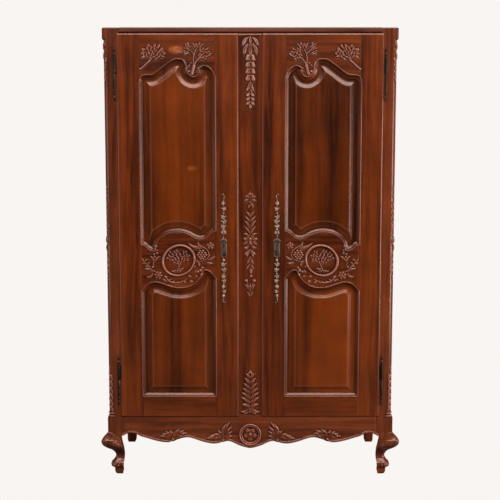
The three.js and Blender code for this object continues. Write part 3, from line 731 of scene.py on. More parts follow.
def rail(name, side, low, high, carve, busy):
    """A door rail between the stiles, with the openings' shaped mouldings along it."""
    ends = [v for spans in STRAIGHTS.values() for span in spans for v in span]
    us = lattice(LOCK_EDGE, STILE_EDGE, FINE, FINE, [],
                 [LOCK_EDGE + 0.9, LOCK_EDGE + MOULDING_WIDTH, STILE_EDGE - MOULDING_WIDTH,
                  STILE_EDGE - 0.9])
    relief = Relief(us, lattice(low, high, FINE, COARSE, busy, ends), frame_ground)
    carve(relief)
    rub_and_highlight_edges(relief)
    u, z = relief.middles()
    kept = opening_distance(u, z) < MOULDING_WIDTH
    for kind, near_stile in (("hinge", u > STILE_EDGE - MOULDING_WIDTH),
                             ("lock", u < LOCK_EDGE + MOULDING_WIDTH)):
        for start, end in STRAIGHTS[kind]:
            kept &= ~(near_stile & (z > start) & (z < end))
    level = opening_distance(relief.u, relief.z) - MOULDING_WIDTH
    return relief_solid(name, relief, kept, on_door(side), DOOR_SKIRT, level)


def door_panel(name, side, which):
    """A raised panel shaped to its opening."""
    low, high = OPENING_SPANS[which]
    busy = [(low, low + 50), (800, high)] if which == "lower" else [(low, 1172), (1722, high)]
    us = lattice(LOCK_EDGE, STILE_EDGE, 1.6, 1.6)
    relief = Relief(us, lattice(low, high, 1.6, COARSE, busy), panel_ground)
    u, z = relief.middles()
    kept = opening_distance(u, z) > PANEL_TONGUE
    level = opening_distance(relief.u, relief.z) - PANEL_TONGUE
    return relief_solid(name, relief, kept, on_door(side), [(-PANEL_BACK, flat)], level)


def carve_nothing(relief):
    """The bottom rail is left plain."""


# ------------------------------------------------------------------ the doors' carving
def oval(centre, across, up, tilt=0, steps=60):
    """A closed oval, started from its lowest end, tilted anticlockwise by tilt degrees."""
    t = np.linspace(-math.pi / 2, 1.5 * math.pi, steps)
    c, s = math.cos(math.radians(tilt)), math.sin(math.radians(tilt))
    a, b = across * np.cos(t), up * np.sin(t)
    return np.stack([centre[0] + a * c - b * s, centre[1] + a * s + b * c], 1)


def carve_flowering_tree(relief):
    """The tree over the opening's shoulder, leaning in from the hinge side."""
    relief.stem([(481, 1820), (474, 1824), (464, 1832), (450, 1845), (436, 1857), (424, 1868)],
                8.5, 5.0, (1.2, 0.6))
    relief.berry((479, 1820), 5.5, 5.5)
    relief.foliage((420, 1893), (50, 30), (440, 1846), 30, 20, 8.0, seed=11)
    relief.stem([(438, 1856), (434, 1870), (427, 1888), (420, 1902)], 4.5, 5.0)
    relief.stem([(436, 1864), (446, 1876), (458, 1884)], 3.6, 4.6)
    relief.stem([(430, 1872), (412, 1878), (396, 1876)], 3.6, 4.6)
    for root, end in (((421, 1910), (412, 1930)), ((437, 1908), (443, 1928)), ((452, 1900), (470, 1906)),
                      ((396, 1902), (376, 1908)), ((392, 1880), (370, 1874)), ((384, 1894), (366, 1890)),
                      ((455, 1884), (476, 1888)), ((455, 1874), (474, 1868))):
        relief.leaf(root, end, 12, 6.6, bow=0.08, moat=1.6)


def carve_basket_tree(relief):
    """The tree that stands in the basket hanging into the upper opening's head."""
    relief.foliage((199, 1887), (26, 26), (240, 1850), 19, 18, 8.0, seed=23)
    relief.foliage((228, 1921), (21, 11), (244, 1895), 10, 17, 7.8, seed=24)
    relief.foliage((274, 1917), (13, 16), (246, 1880), 8, 17, 7.8, seed=25)
    relief.foliage((281, 1892), (11, 8), (262, 1894), 5, 15, 7.6, seed=26)
    relief.stem([(254, 1801), (249, 1818), (244, 1838), (241, 1848)], 14, 6.2, (1.1, 0.6))
    relief.stem([(242, 1842), (232, 1857), (218, 1872), (210, 1884)], 6.5, 5.6)
    relief.stem([(245, 1840), (247, 1862), (245, 1880), (238, 1898), (230, 1912)], 5.5, 5.4)
    relief.stem([(245, 1884), (256, 1897), (268, 1908), (278, 1922)], 4.5, 5.0, (1, 0.6))
    relief.leaves(((283, 1832), (263, 1845), 8, 4.6, 0.25), ((264, 1845), (250, 1847), 6, 4.2, -0.2),
                  ((288, 1852), (274, 1836), 8, 4.4, 0.2), ((270, 1822), (286, 1828), 7, 4.0, -0.25),
                  ((231, 1824), (212, 1832), 9, 4.6, 0.2), ((235, 1813), (216, 1809), 7, 4.2, -0.2))
    relief.berry((266, 1811), 6.5, 4.6)


def carve_top_rail(relief):
    carve_flowering_tree(relief)
    carve_basket_tree(relief)


def carve_top_rail_with_twig(relief):
    """The left door's top rail, with the twig in its bare patch where a leaf has broken off."""
    carve_top_rail(relief)
    relief.stem([(330, 1901), (317, 1903), (306, 1904)], 3.2, 2.2, (0.4, 1))
    relief.stem([(310, 1912), (306, 1904), (297, 1897)], 3.4, 2.4, (0.5, 0.7))


def carve_medallion(relief):
    """The oval medallion with a tree standing on a tuft of ground leaves."""
    ring = oval((318, 985), 72, 65, -32)
    relief.sink(ring, 3.2, 9)
    relief.foliage((318, 1001), (53, 30), (312, 952), 38, 14.5, 6.2, seed=5)
    relief.stem([(325, 938), (320, 950), (313, 965), (308, 981)], 5.5, 3.8, (1.2, 0.6))
    relief.stem([(312, 966), (320, 976), (330, 984)], 3.2, 3.4)
    relief.leaf((325, 943), (353, 938), 10, 4.2, bow=-0.12)
    relief.leaf((321, 946), (294, 953), 12, 4.4, bow=0.15, lobes=3)
    relief.leaf((322, 940), (305, 936), 7, 3.4)
    relief.stroke(ring, 12.5, 6.4, taper=(0.7, 0.7), moat=2.2)


def carve_fruit(relief):
    """The pomegranate of berries, with its leaves and looped stem."""
    relief.leaves(((208, 1044), (277, 1066), 15, 5.2, -0.16), ((206, 1046), (231, 1070), 12, 5.0, -0.3),
                  ((203, 1038), (236, 1032), 7, 3.6, 0.15))
    relief.stem([(209, 1045), (196, 1036), (187, 1024), (183, 1008), (190, 995), (203, 986), (222, 981),
                 (240, 978)], 5.2, 4.6, (0.8, 0.6))
    for z, across in ((1028, (210, 223)), (1019, (201, 214, 227)), (1010, (196, 208, 220, 232)),
                      (1001, (202, 214, 226)), (993, (209, 220))):
        for u in across:
            relief.berry((u, z), 5.9, 6.0, moat=1.4)
    relief.flower((177, 1051), 17, 4.8, petals=5, turn=20)
    relief.leaf((194, 987), (155, 1008), 14, 5.0, bow=0.12)
    relief.leaf((197, 979), (163, 974), 12, 4.8, bow=0.1)


def carve_fallen_fruit(relief):
    """Leaves, buds and berries between the medallion and the lower opening's cusp."""
    relief.leaves(((246, 988), (224, 955), 11, 4.8, -0.15), ((246, 928), (240, 945), 9, 4.4),
                  ((275, 921), (258, 914), 8, 4.2, 0.2), ((248, 917), (234, 913), 8, 4.4),
                  ((272, 893), (254, 889), 13, 4.8))
    relief.berries(((247, 958), 5, 4.0), ((232, 935), 6, 4.4), ((220, 941), 7.5, 4.8),
                   ((217, 922), 6.5, 4.8), ((213, 952), 6, 4.2))


def carve_left_spray(relief):
    """The leafy spray, flower and garland that lead round the medallion's hinge side."""
    relief.berry((419, 1048), 6.5, 5.0)
    relief.leaf((425, 1034), (407, 1028), 8, 4.6)
    relief.berries(((414, 1018), 5.5, 4.4), ((427, 1013), 5.0, 4.2), ((424, 1001), 4.5, 4.0))
    relief.stem([(424, 1012), (428, 998), (430, 980), (430, 960)], 4.2, 4.0, (0.5, 1))
    relief.leaf((427, 978), (398, 1005), 12, 5.2, bow=-0.1)
    relief.leaf((430, 980), (447, 1006), 11, 5.0, bow=0.15)
    relief.stem([(482, 990), (472, 979), (460, 969), (447, 956), (434, 940), (420, 933)], 4.6, 4.4,
                (0.6, 1))
    relief.leaves(((473, 980), (488, 996), 9, 4.8, 0.1), ((470, 978), (452, 992), 9, 4.8, -0.1),
                  ((463, 970), (484, 972), 9, 4.8, 0.1), ((458, 966), (444, 978), 8, 4.6, -0.1),
                  ((449, 957), (468, 958), 9, 4.8, 0.1), ((434, 937), (471, 948), 15, 5.4, 0.12),
                  ((432, 930), (465, 914), 10, 5.0, -0.25))
    relief.berry((434, 956), 5.0, 4.4)
    relief.flower((409, 919), 19, 5.2, petals=6, turn=10)
    relief.leaf((392, 903), (368, 890), 10, 4.8)


def carve_garland(relief):
    """The swag of husks under the medallion."""
    relief.stem([(380, 914), (367, 899), (355, 890), (338, 886), (317, 886), (300, 891), (286, 899)],
                6.5, 4.6, (1.2, 0.6))
    for root, end in (((383, 917), (366, 913)), ((366, 898), (350, 901)), ((352, 889), (334, 895)),
                      ((334, 886), (314, 893)), ((316, 886), (298, 898)), ((304, 889), (284, 905)),
                      ((300, 889), (282, 890))):
        relief.leaf(root, end, 8, 5.0, bow=0.1)


def carve_mid_rail(relief):
    carve_left_spray(relief)
    carve_garland(relief)
    carve_fallen_fruit(relief)
    carve_medallion(relief)
    carve_fruit(relief)


# ------------------------------------------------------------------ centre post and apron
POST_INNER, POST_OUTER = limits("front_post_right")[0][0], 640.0
POST_DEPTH = 60.0
LEG_TOP, BLOCK_TOP, CAP_BOTTOM = 203.0, 272.0, 1950.0
LEG_HOLLOW = 7.0  # how much narrower the leg is from front to back than across
BLOCK_OUTER = limits("top_board")[1][0]
POST_TOP = HEIGHT - 0.5
LEG_SIDE = 582.2  # where the apron's ends meet the legs


def on_front(u, z, rise):
    """Turns (place across, height, rise) on the case's front into points."""
    return np.stack([u, FRONT - rise, z], -1)


def carve_ribboned_husks(relief):
    """At the post's head: a ribbon bow, a bell of leaves and a chain of husks."""
    relief.leaf((0, 1684), (0, 1648), 20, 6.5)
    for z, width in ((1672, 19), (1690, 20), (1708, 19)):
        relief.pair((1, z + 15), (width, z - 4), 18, 7.0, -0.08, moat=1.4, blunt=1.1)
    relief.leaf((-3, 1750), (6, 1716), 17, 6.0, bow=0.1)
    relief.pair((2, 1770), (21, 1724), 18, 7.5, -0.12, moat=1.6)
    for z in (1770, 1799, 1827, 1855):
        relief.husk((0, z), 23, 31, 7.0)
    relief.pair((3, 1936), (26, 1880), 20, 7.0, 0.14, moat=1.6, blunt=1.2)
    relief.leaf((0, 1938), (0, 1872), 24, 6.5)
    relief.pair((3, 1960), (32, 1917), 19, 8.5, 0.16, moat=1.8, blunt=1.2)
    relief.leaf((0, 1962), (0, 1926), 18, 7.5, moat=1.4)


def carve_festoon(relief):
    """At the post's middle: a hanging festoon of leaves, a flower, a drop and a husk."""
    relief.flower((0, 1262), 24, 4.6, petals=7, turn=12)
    relief.leaf((0, 1256), (0, 1290), 16, 5.4)
    relief.pair((1, 1250), (24, 1272), 12, 5.0, 0.2)
    relief.pair((2, 1250), (27, 1248), 10, 4.6, 0.2)
    relief.leaf((-8, 1248), (15, 1216), 12, 5.0, bow=0.1)
    relief.leaf((8, 1240), (-10, 1214), 9, 4.4, bow=-0.1)
    for base, tip, width, size in ((1174, 1204, 21, 12), (1146, 1182, 25, 14), (1120, 1164, 27, 16),
                                   (1098, 1138, 29, 12)):
        relief.pair((0, base), (width, tip), size, 6.4, 0.1, moat=1.6)
    relief.leaf((0, 1196), (0, 1176), 10, 4.4)
    relief.flower((0, 1070), 34, 5.6, petals=8, turn=22, heart=0.2)
    relief.pair((6, 1092), (31, 1104), 12, 6.0, 0.15)
    relief.pair((6, 1052), (30, 1040), 13, 6.0, -0.15)
    relief.berries(((0, 1080), 7, 6.6), ((1, 1061), 7, 6.6))
    relief.pair((0, 1034), (28, 1012), 17, 6.2, -0.15, moat=1.6)
    relief.leaf((-2, 1034), (13, 996), 15, 6.4, bow=0.1)
    relief.leaf((2, 1030), (-16, 998), 14, 6.2, bow=-0.1)
    relief.pair((1, 1004), (17, 970), 15, 6.0, -0.12)
    relief.pair((2, 976), (20, 946), 13, 5.6, -0.12)
    relief.leaf((3, 954), (3, 922), 15, 6.6)
    relief.berry((3, 914), 7, 6.2)
    for across in (-18, 18):
        relief.berry((across, 894), 7.5, 6.2)
        relief.leaf((across * 0.3, 870), (across * 0.9, 888), 8, 4.6)
    relief.pair((1, 843), (24, 878), 17, 6.2, 0.12)
    relief.leaf((0, 842), (0, 882), 15, 6.4)
    relief.pair((0, 824), (14, 846), 9, 4.0)


def carve_palmette(relief):
    """At the post's foot: a tall palmette of paired feathers round a pierced eye."""
    relief.pair((3, 316), (46, 298), 16, 6.0, -0.2, moat=1.6)
    relief.pair((2, 312), (29, 287), 15, 6.0, -0.15)
    relief.leaf((0, 320), (0, 287), 16, 5.6)
    for base, tip, width in ((316, 334, 38), (333, 366, 43), (354, 387, 40), (375, 408, 36),
                             (396, 430, 31), (418, 454, 26)):
        relief.pair((1, base), (width, tip), 20, 7.5, 0.06, blunt=0.62, moat=1.8)
    relief.pair((2, 440), (21, 474), 15, 6.4, 0.12)
    relief.leaf((0, 446), (0, 490), 27, 6.4)
    relief.sink(oval((0, 468), 6.5, 6.5), 7.0, 2.5)


CENTRE_FOOT, CENTRE_HEAD = 284.3, 1962.7
KEEPER = (1033.0, 1057.0)  # the notch that takes each lock's bolt
KEEPER_DEPTH = 12.0
CENTRE_FACE = 7.0  # how deep the carved face's own solid is


def centre_post(name):
    """The fixed post between the doors: a carved face on a body notched for the lock bolts."""
    low, high = limits("centre_post")
    across = lattice(low[0], high[0], 1.1, 5, [(-46, 46)])
    up = lattice(CENTRE_FOOT, CENTRE_HEAD, 1.25, 22,
                 [(CENTRE_FOOT, 494), (822, 1290), (1648, CENTRE_HEAD)])
    relief = Relief(across, up)
    carve_palmette(relief)
    carve_festoon(relief)
    carve_ribboned_husks(relief)
    kept = np.ones((across.size - 1, up.size - 1), bool)
    face = relief_solid(f"{name}_face", relief, kept, on_front, [(-CENTRE_FACE, flat)])
    right = [(high[0], CENTRE_FOOT), (high[0], KEEPER[0]), (high[0] - KEEPER_DEPTH, KEEPER[0]),
             (high[0] - KEEPER_DEPTH, KEEPER[1]), (high[0], KEEPER[1]), (high[0], CENTRE_HEAD)]
    outline = [*right, *[(-x, z) for x, z in right[::-1]]]
    body = prism(f"{name}_body", outline, lambda u, v, h: np.stack([u, h, v], -1),
                 FRONT + CENTRE_FACE, high[1])
    return join(name, [face, body])


def apron_edge():
    """The apron's shaped lower edge, from the middle out to the right-hand post."""
    lobe = smooth([(0, 127), (10, 128), (33, 134), (56, 142), (80, 154), (102, 160), (123, 155)], 6)
    swag = smooth([(127, 155), (150, 149), (173, 148), (200, 153), (228, 161), (256, 171), (283, 177),
                   (307, 174), (330, 167), (350, 158)], 6)
    rise = smooth([(354, 159), (372, 154), (395, 155), (418, 159), (441, 165), (470, 174), (497, 182),
                   (520, 193), (543, 197), (560, 194), (574, 187), (LEG_SIDE, 181)], 6)
    return np.vstack([lobe, swag, rise])


def apron_outline():
    """The whole apron, with its ends notched over the legs' tops."""
    top = limits("apron_rail")[1][2]
    end = POST_INNER - TOUCH
    right = np.array([*apron_edge(), (LEG_SIDE, LEG_TOP), (end, LEG_TOP), (end, top)])
    return np.vstack([right, right[::-1] * (-1, 1)])


def rosette(relief, centre):
    """A five-petalled flower inside two rings."""
    relief.sink(oval(centre, 42, 42), 3.5, 6)
    relief.stroke(oval(centre, 47, 47), 8, 5.0, moat=1.6)
    relief.stroke(oval(centre, 38, 38), 6, 4.6, moat=1.4)
    relief.flower(centre, 32, 6.4, petals=5, turn=-90, heart=0.3)


def acanthus(relief, side, root, tips, size):
    """Leaves that fan out from a notch in the apron's edge."""
    for across, up in tips:
        bow = 0.12 * side * (1 if across > root[0] else -1)
        relief.leaf((side * root[0], root[1]), (side * across, up), size, 6.4, bow=bow, lobes=3,
                    moat=1.7, blunt=0.7)


def carve_apron(relief):
    """A bead along the shaped edge, four sprays of leaves on each side and the rosette."""
    edge = apron_edge()
    for side in (1, -1):
        lifted = edge * (side, 1) + (0, 6.5)
        relief.stroke(lifted, 9, 1.6, moat=0.9)
        acanthus(relief, side, (124, 162), ((206, 172), (192, 184), (170, 196), (146, 210), (129, 222)),
                 22)
        acanthus(relief, side, (122, 162), ((78, 186), (80, 206), (80, 230), (89, 252), (106, 246)), 21)
        acanthus(relief, side, (352, 166), ((414, 184), (404, 196), (388, 206), (368, 212)), 24)
        acanthus(relief, side, (350, 166), ((304, 184), (286, 198), (296, 211), (320, 217)), 24)
        relief.berry((side * 123, 164), 6, 4)
        relief.berry((side * 351, 168), 6, 4)
    rosette(relief, np.array([0.0, 190.0]))


def apron(name):
    """The carved rail under the doors, with its lower edge rubbed round."""
    low, high = limits("apron_rail")
    busy = [(-440, -255), (-235, 235), (255, 440)]
    ends = [-POST_INNER + TOUCH, POST_INNER - TOUCH]
    across = lattice(-LEG_SIDE, LEG_SIDE, 1.5, 3.2, busy, ends)
    up = lattice(low[2], high[2], 1.4, 6, [(low[2], 262)], [LEG_TOP])
    relief = Relief(across, up)
    outline = apron_outline()
    u, z = relief.middles()
    kept = distance_inside(u, z, outline) > 0
    carve_apron(relief)
    level = -distance_inside(relief.u, relief.z, outline)
    rim = np.clip(1 + level / 2.2, 0, 1)
    relief.height -= 1.6 * rim**2
    return relief_solid(name, relief, kept, on_front, [(FRONT - high[1], flat)], level)


# ------------------------------------------------------------------ front posts and legs
WRAP_FRONT, WRAP_CANT, WRAP_SIDE = 52.0, 21.0, 45.0  # the wrapped face's three parts
WRAP = WRAP_FRONT + WRAP_CANT + WRAP_SIDE
CANT_MIDDLE = WRAP_FRONT + WRAP_CANT / 2

# The leg's outer and inner reach at each height, from the floor up.
LEG_OUTER = [(0, 615), (5, 618), (14, 620.5), (24, 621), (29, 622), (34, 628), (41, 632.5),
             (49, 634.5), (57, 632), (66, 625), (75, 619), (86, 616.5), (97, 620), (107, 627),
             (115, 634.5), (124, 647), (134, 660), (146, 670), (158, 673.8), (168, 673.2),
             (176, 669.5), (186, 663), (195, 654), (203, 647)]
LEG_INNER = [(0, 583), (8, 583), (20, 579), (45, 577.6), (93, 573.4), (109, 573.1), (134, 577.7),
             (155, 581.5), (165, 582.5), (185, 582.5), (203, 582.5)]


def reach_profile(points, heights):
    curve = smooth(points, 6)
    return np.interp(heights, curve[:, 0], curve[:, 1])


def post_reaches(z):
    """The post's outer reach, inner reach, depth reach and corner cut at each height."""
    above = [LEG_TOP, BLOCK_TOP - 3, BLOCK_TOP, BLOCK_TOP + 2.5, CAP_BOTTOM - 3, CAP_BOTTOM - 0.5,
             CAP_BOTTOM + 1.5, POST_TOP - 3, POST_TOP]
    outer = np.interp(z, above, [646.5, 646.5, 645.5, 640, 640, 640.5, 646.3, 646.3, 644])
    inner = np.full(z.shape, POST_INNER)
    cut = np.interp(z, above, [4, 4, 8, 15, 15, 14, 9, 9, 9])
    depth = np.interp(z, above, [640, 640, 640, 640, 640, 640, 640, 640, 638])
    on_leg = z < LEG_TOP
    leg_reach = reach_profile(LEG_OUTER, z)
    leg_depth = leg_reach - np.interp(z, [LEG_TOP - 30, LEG_TOP], [0, 7])
    leg_cut = np.interp(z, [0, 30, 50, 80, 150, LEG_TOP], [7, 8, 12, 11, 20, 5])
    outer = np.where(on_leg, leg_reach, outer)
    inner = np.where(on_leg, reach_profile(LEG_INNER, z), inner)
    return outer, inner, np.where(on_leg, leg_depth, depth), np.where(on_leg, leg_cut, cut)


def carve_corner_husks(relief):
    """A short chain of drops down the canted corner under the cap."""
    c = CANT_MIDDLE
    for z, length, width in ((1766, 26, 10), (1790, 28, 13), (1818, 30, 15)):
        relief.leaf((c, z + length), (c - 1, z), width, 4.6)
    relief.leaves(((c - 5, 1906), (c + 5, 1862), 13, 5.4, 0.15),
                  ((c + 4, 1876), (c - 4, 1846), 12, 5.0, -0.15),
                  ((c - 7, 1948), (c + 6, 1904), 15, 5.6, 0.16),
                  ((c + 7, 1944), (c - 1, 1918), 9, 4.6, -0.1))


def carve_corner_festoon(relief):
    """A narrow festoon of beads, leaves and a flower down the canted corner."""
    c = CANT_MIDDLE
    for across, z, radius in ((-1, 1308, 5), (0, 1290, 3.6), (1, 1271, 5.2), (3, 1014, 5),
                              (-3, 1000, 4), (2, 913, 5), (0, 899, 3.6), (-1, 1118, 4.4)):
        relief.berry((c + across, z), radius, 4.4)
    for up in (1238, 1212, 1186, 1160):
        relief.leaf((c, up - 18), (c - 9, up + 6), 8, 4.4, bow=-0.12)
        relief.leaf((c, up - 18), (c + 9, up + 4), 8, 4.4, bow=0.12)
    relief.flower((c, 1136), 11, 4.6, petals=5, turn=20)
    relief.leaves(((c - 8, 1102), (c + 7, 1062), 13, 5.2, 0.2),
                  ((c + 8, 1090), (c + 1, 1060), 8, 4.6, -0.15),
                  ((c - 9, 1064), (c + 5, 1026), 9, 4.8, 0.28))
    for up in (985, 960, 936):
        relief.leaf((c, up + 14), (c + 8, up - 6), 8, 4.4, bow=-0.1)
        relief.leaf((c - 1, up + 10), (c - 8, up - 8), 7, 4.2, bow=0.1)


def carve_corner_twist(relief):
    """Long leaves wound up the canted corner from its foot."""
    c = CANT_MIDDLE
    relief.leaf((c, 470), (c + 2, 506), 11, 4.4)
    for up in (462, 434, 404, 374, 346, 318):
        relief.leaf((c - 11, up - 30), (c + 10, up + 12), 13, 5.4, bow=0.14)
        relief.leaf((c + 11, up - 26), (c + 2, up - 4), 7, 4.2, bow=0.1)


def carve_corner_rings(relief):
    """Two ringed fillets that stop the canted corner on the base block."""
    for up, lift in ((290, 5.0), (277, 6.2)):
        relief.stroke(((WRAP_FRONT - 12, up), (WRAP_FRONT + WRAP_CANT + 12, up)), 7, lift,
                      taper=(0.5, 0.5), moat=1.2)


# Where the knee's arched shoulder starts, as a share of the leg's face from its inner edge.
SHOULDER = ([120, 150, 173, 181, 190, 198, 204], [-0.5, 0.06, 0.24, 0.38, 0.57, 0.83, 1.1])


def round_shoulder(relief):
    """Draws the leg's face back to the post's above the knee's arched shoulder."""
    _, _, depth, _ = post_reaches(relief.z)
    bulge = np.where(relief.z < LEG_TOP, np.clip(depth - POST_OUTER, 0, None), 0)
    share = np.where(relief.u < CANT_MIDDLE, relief.u / WRAP_FRONT, (WRAP - relief.u) / WRAP_SIDE)
    beyond = np.clip((share - np.interp(relief.z, *SHOULDER)) / 0.6 + 0.05, 0, 1)
    relief.height -= 0.9 * bulge * (1 - np.sqrt(1 - (1 - beyond) ** 2))


def carve_leg(relief):
    """The flutes beside the shin's two edges, the toe's whorls and beads, and a line round the foot."""
    for start, end in ((0.0, WRAP_FRONT + 10), (WRAP, WRAP_FRONT + WRAP_CANT - 10)):
        shin = np.array([(start + (end - start) * share, up) for share, up in (
            (0.26, 166), (0.20, 144), (0.15, 118), (0.13, 95), (0.14, 74), (0.18, 62))])
        relief.stroke(smooth(shin), 6, 1.2, taper=(0.2, 0.6), moat=1.2)
        relief.stroke(smooth(shin + (0, 2)) + (0.13 * (end - start), 0), 5, 1.0, taper=(0.2, 0.5))
    for middle, turns in ((WRAP_FRONT - 1, 1.3), (WRAP_FRONT + WRAP_CANT + 1, -1.3)):
        relief.stroke(spiral((middle, 46), 12, 3, 90, turns), 5.5, 3.0, taper=(0.6, 1))
    for middle in (WRAP_FRONT - 26, WRAP_FRONT + WRAP_CANT + 26):
        relief.berries(((middle, 57), 5, 4.2), ((middle + 3, 44), 5, 4.2))
    relief.stroke(((0, 29), (WRAP, 29)), 5, -2.0, moat=0)


def wrapped_face(relief, side):
    """The points of the post's front, canted corner and outer side, pushed out by the carving."""
    z = relief.zs
    outer, inner, depth, cut = (value[None, :] for value in post_reaches(z))
    s = relief.us[:, None]
    front_y = FRONT + POST_OUTER - depth
    back_y = FRONT + np.where(z < LEG_TOP, POST_OUTER - inner - LEG_HOLLOW, POST_DEPTH)
    on_front_part = np.clip(s / WRAP_FRONT, 0, 1)
    on_cant = np.clip((s - WRAP_FRONT) / WRAP_CANT, 0, 1)
    on_side = np.clip((s - WRAP_FRONT - WRAP_CANT) / WRAP_SIDE, 0, 1)
    x = inner + (outer - cut - inner) * on_front_part + cut * on_cant
    y = front_y + cut * on_cant + (back_y - front_y - cut) * on_side
    turn = np.interp(s, [WRAP_FRONT - 6, WRAP_FRONT + 5, WRAP_FRONT + WRAP_CANT - 5,
                         WRAP_FRONT + WRAP_CANT + 6], [0, 45, 45, 90]) * math.pi / 180
    bulge = 0.9 * np.sin(np.pi * on_cant)
    push = relief.height + bulge
    x, y = x + push * np.sin(turn), y - push * np.cos(turn)
    return np.stack([side * x, y, np.broadcast_to(z, x.shape)], -1), back_y[0], inner[0]


def post_loops(face, back_y, inner, side, heights):
    """The post's outline at each height: the carved face, then its back and its inner side."""
    share = np.linspace(0, 1, 7)[1:, None, None]
    narrowing = np.interp(heights, [0, LEG_TOP - 20, LEG_TOP + 4], [8, 8, 0])
    corner = np.stack([side * (inner + narrowing), back_y, heights], -1)
    behind = face[-1] + (corner - face[-1]) * share
    inside = corner + (face[0] - corner) * share[:-1]
    return np.concatenate([face, behind, inside]).transpose(1, 0, 2)


def front_post(name, side):
    """The canted corner post, its base block and its cabriole leg, in one piece."""
    canted = (WRAP_FRONT - 12, WRAP_FRONT + WRAP_CANT + 12)
    edges = [WRAP_FRONT, WRAP_FRONT + WRAP_CANT]
    across = np.union1d(lattice(0, WRAP, 1.2, 6, [canted], edges), np.arange(2, WRAP - 1, 3.0))
    busy = [(0, 300), (300, 512), (892, 1316), (1760, POST_TOP)]
    relief = Relief(across, lattice(0, POST_TOP, 1.35, 24, busy))
    carve_corner_husks(relief)
    carve_corner_festoon(relief)
    carve_corner_twist(relief)
    carve_corner_rings(relief)
    carve_leg(relief)
    worn_and_shaded = relief.wear_and_shading()
    round_shoulder(relief)
    face, back_y, inner = wrapped_face(relief, side)
    loops = post_loops(face, back_y, inner, side, relief.zs)
    unworn_unshaded = np.zeros((loops.shape[1] - across.size, relief.zs.size))
    return lofted(name, loops, np.concatenate([worn_and_shaded, unworn_unshaded]).T.ravel(), sharp=50)


# ------------------------------------------------------------------ hinges and locks
HINGE_SPANS = {"upper": (1686.0, 1915.0), "lower": (330.0, 557.0)}
HINGE_X, HINGE_Y = sum(limits("upper_hinge_right_pin"))[:2] / 2
BARREL = 5.2
LOCK_X = sum(limits("right_escutcheon"))[0] / 2
KEYHOLE = 1045.0
ESCUTCHEON_BACK = limits("right_escutcheon")[1][1]

# Half a hinge from its tip: (radius, distance from the tip). A drop finial, two rings, a barrel.
HALF_HINGE = [(0, 0), (1.6, 0.3), (2.4, 1.4), (2.2, 2.6), (1.9, 3.4), (3.4, 5), (4.7, 8), (5.0, 11),
              (4.6, 14), (3.4, 17), (2.5, 19), (2.3, 22), (2.9, 25), (4.4, 27), (5.2, 29), (5.4, 31),
              (4.9, 33.5), (3.6, 35.2), (3.4, 36.2), (5.0, 37.2), (BARREL + 0.2, 38.4),
              (BARREL + 0.2, 41), (BARREL - 0.5, 42), (BARREL - 0.3, 44)]


def upright_at(x, y):
    return lambda a, b, h: np.stack([x + a, y + b, h], -1)


def facing_back(x, y, z):
    return lambda a, b, h: np.stack([x + a, y + h, z + b], -1)


def along_rod(x, y, z):
    return lambda a, b, h: np.stack([x + h, y + a, z + b], -1)


def hinge_half(name, side, level, upper):
    """One of a hinge's two barrels, from its finial to the hinge's middle."""
    low, high = HINGE_SPANS[level]
    length = (high - low) / 2 - 0.4
    profile = [*HALF_HINGE, (BARREL - 0.3, length - 2), (BARREL - 0.9, length - 0.4), (0, length)]
    turned_profile = [(r, high - h) if upper else (r, low + h) for r, h in profile]
    return turned(f"{name}_barrel", turned_profile, upright_at(side * HINGE_X, HINGE_Y))


def hinge(word, level):
    """A barrel hinge: a leaf on the post, a leaf on the door and the pin through both."""
    side = SIDES[word]
    low, high = HINGE_SPANS[level]
    middle = (low + high) / 2
    name = f"{level}_hinge_{word}"
    barrel = hinge_half(f"{name}_post", side, level, False)
    plate = board(f"{name}_post_plate", (side * HINGE_X - 1.2, HINGE_Y + 4.5, low + 45),
                  (side * HINGE_X + 1.2, FRONT + 20, middle - 5), 0.4)
    stand_in(join(f"{name}_post_leaf_shape", [barrel, plate]), "carcass", SHADED_BRASS)
    barrel = hinge_half(f"{name}_door", side, level, True)
    plate = board(f"{name}_door_plate", (side * (HINGE_X - 4), FRONT - 5.2, middle + 5),
                  (side * (HINGE_X - 31), FRONT - 2.8, high - 45), 0.4)
    stand_in(join(f"{name}_door_leaf_shape", [barrel, plate]), f"{word}_door", SHADED_BRASS)
    upper_end = [(2.6, 40), (2.4, 58), (0, 59)]
    profile = [(r, middle - h) for r, h in upper_end[::-1]] + [(r, middle + h) for r, h in upper_end]
    pin = turned(f"{name}_pin_shape", profile, upright_at(side * HINGE_X, HINGE_Y), 16)
    stand_in(pin, "carcass", STEEL)


def cast_husk(relief, centre, width, turn):
    """A small curl with a leaf either side of it."""
    u, z = centre
    relief.stroke(spiral((u + turn * 1.5, z), width * 0.46, 1.6, 90, -turn * 1.15), 4.6, 4.2, moat=0)
    relief.leaf((u, z - 7), (u + turn * width * 0.7, z + 8), 9.5, 4.2, bow=turn * 0.25, moat=0)
    relief.leaf((u, z - 7), (u - turn * width * 0.7, z + 5), 9.5, 4.2, bow=-turn * 0.25, moat=0)


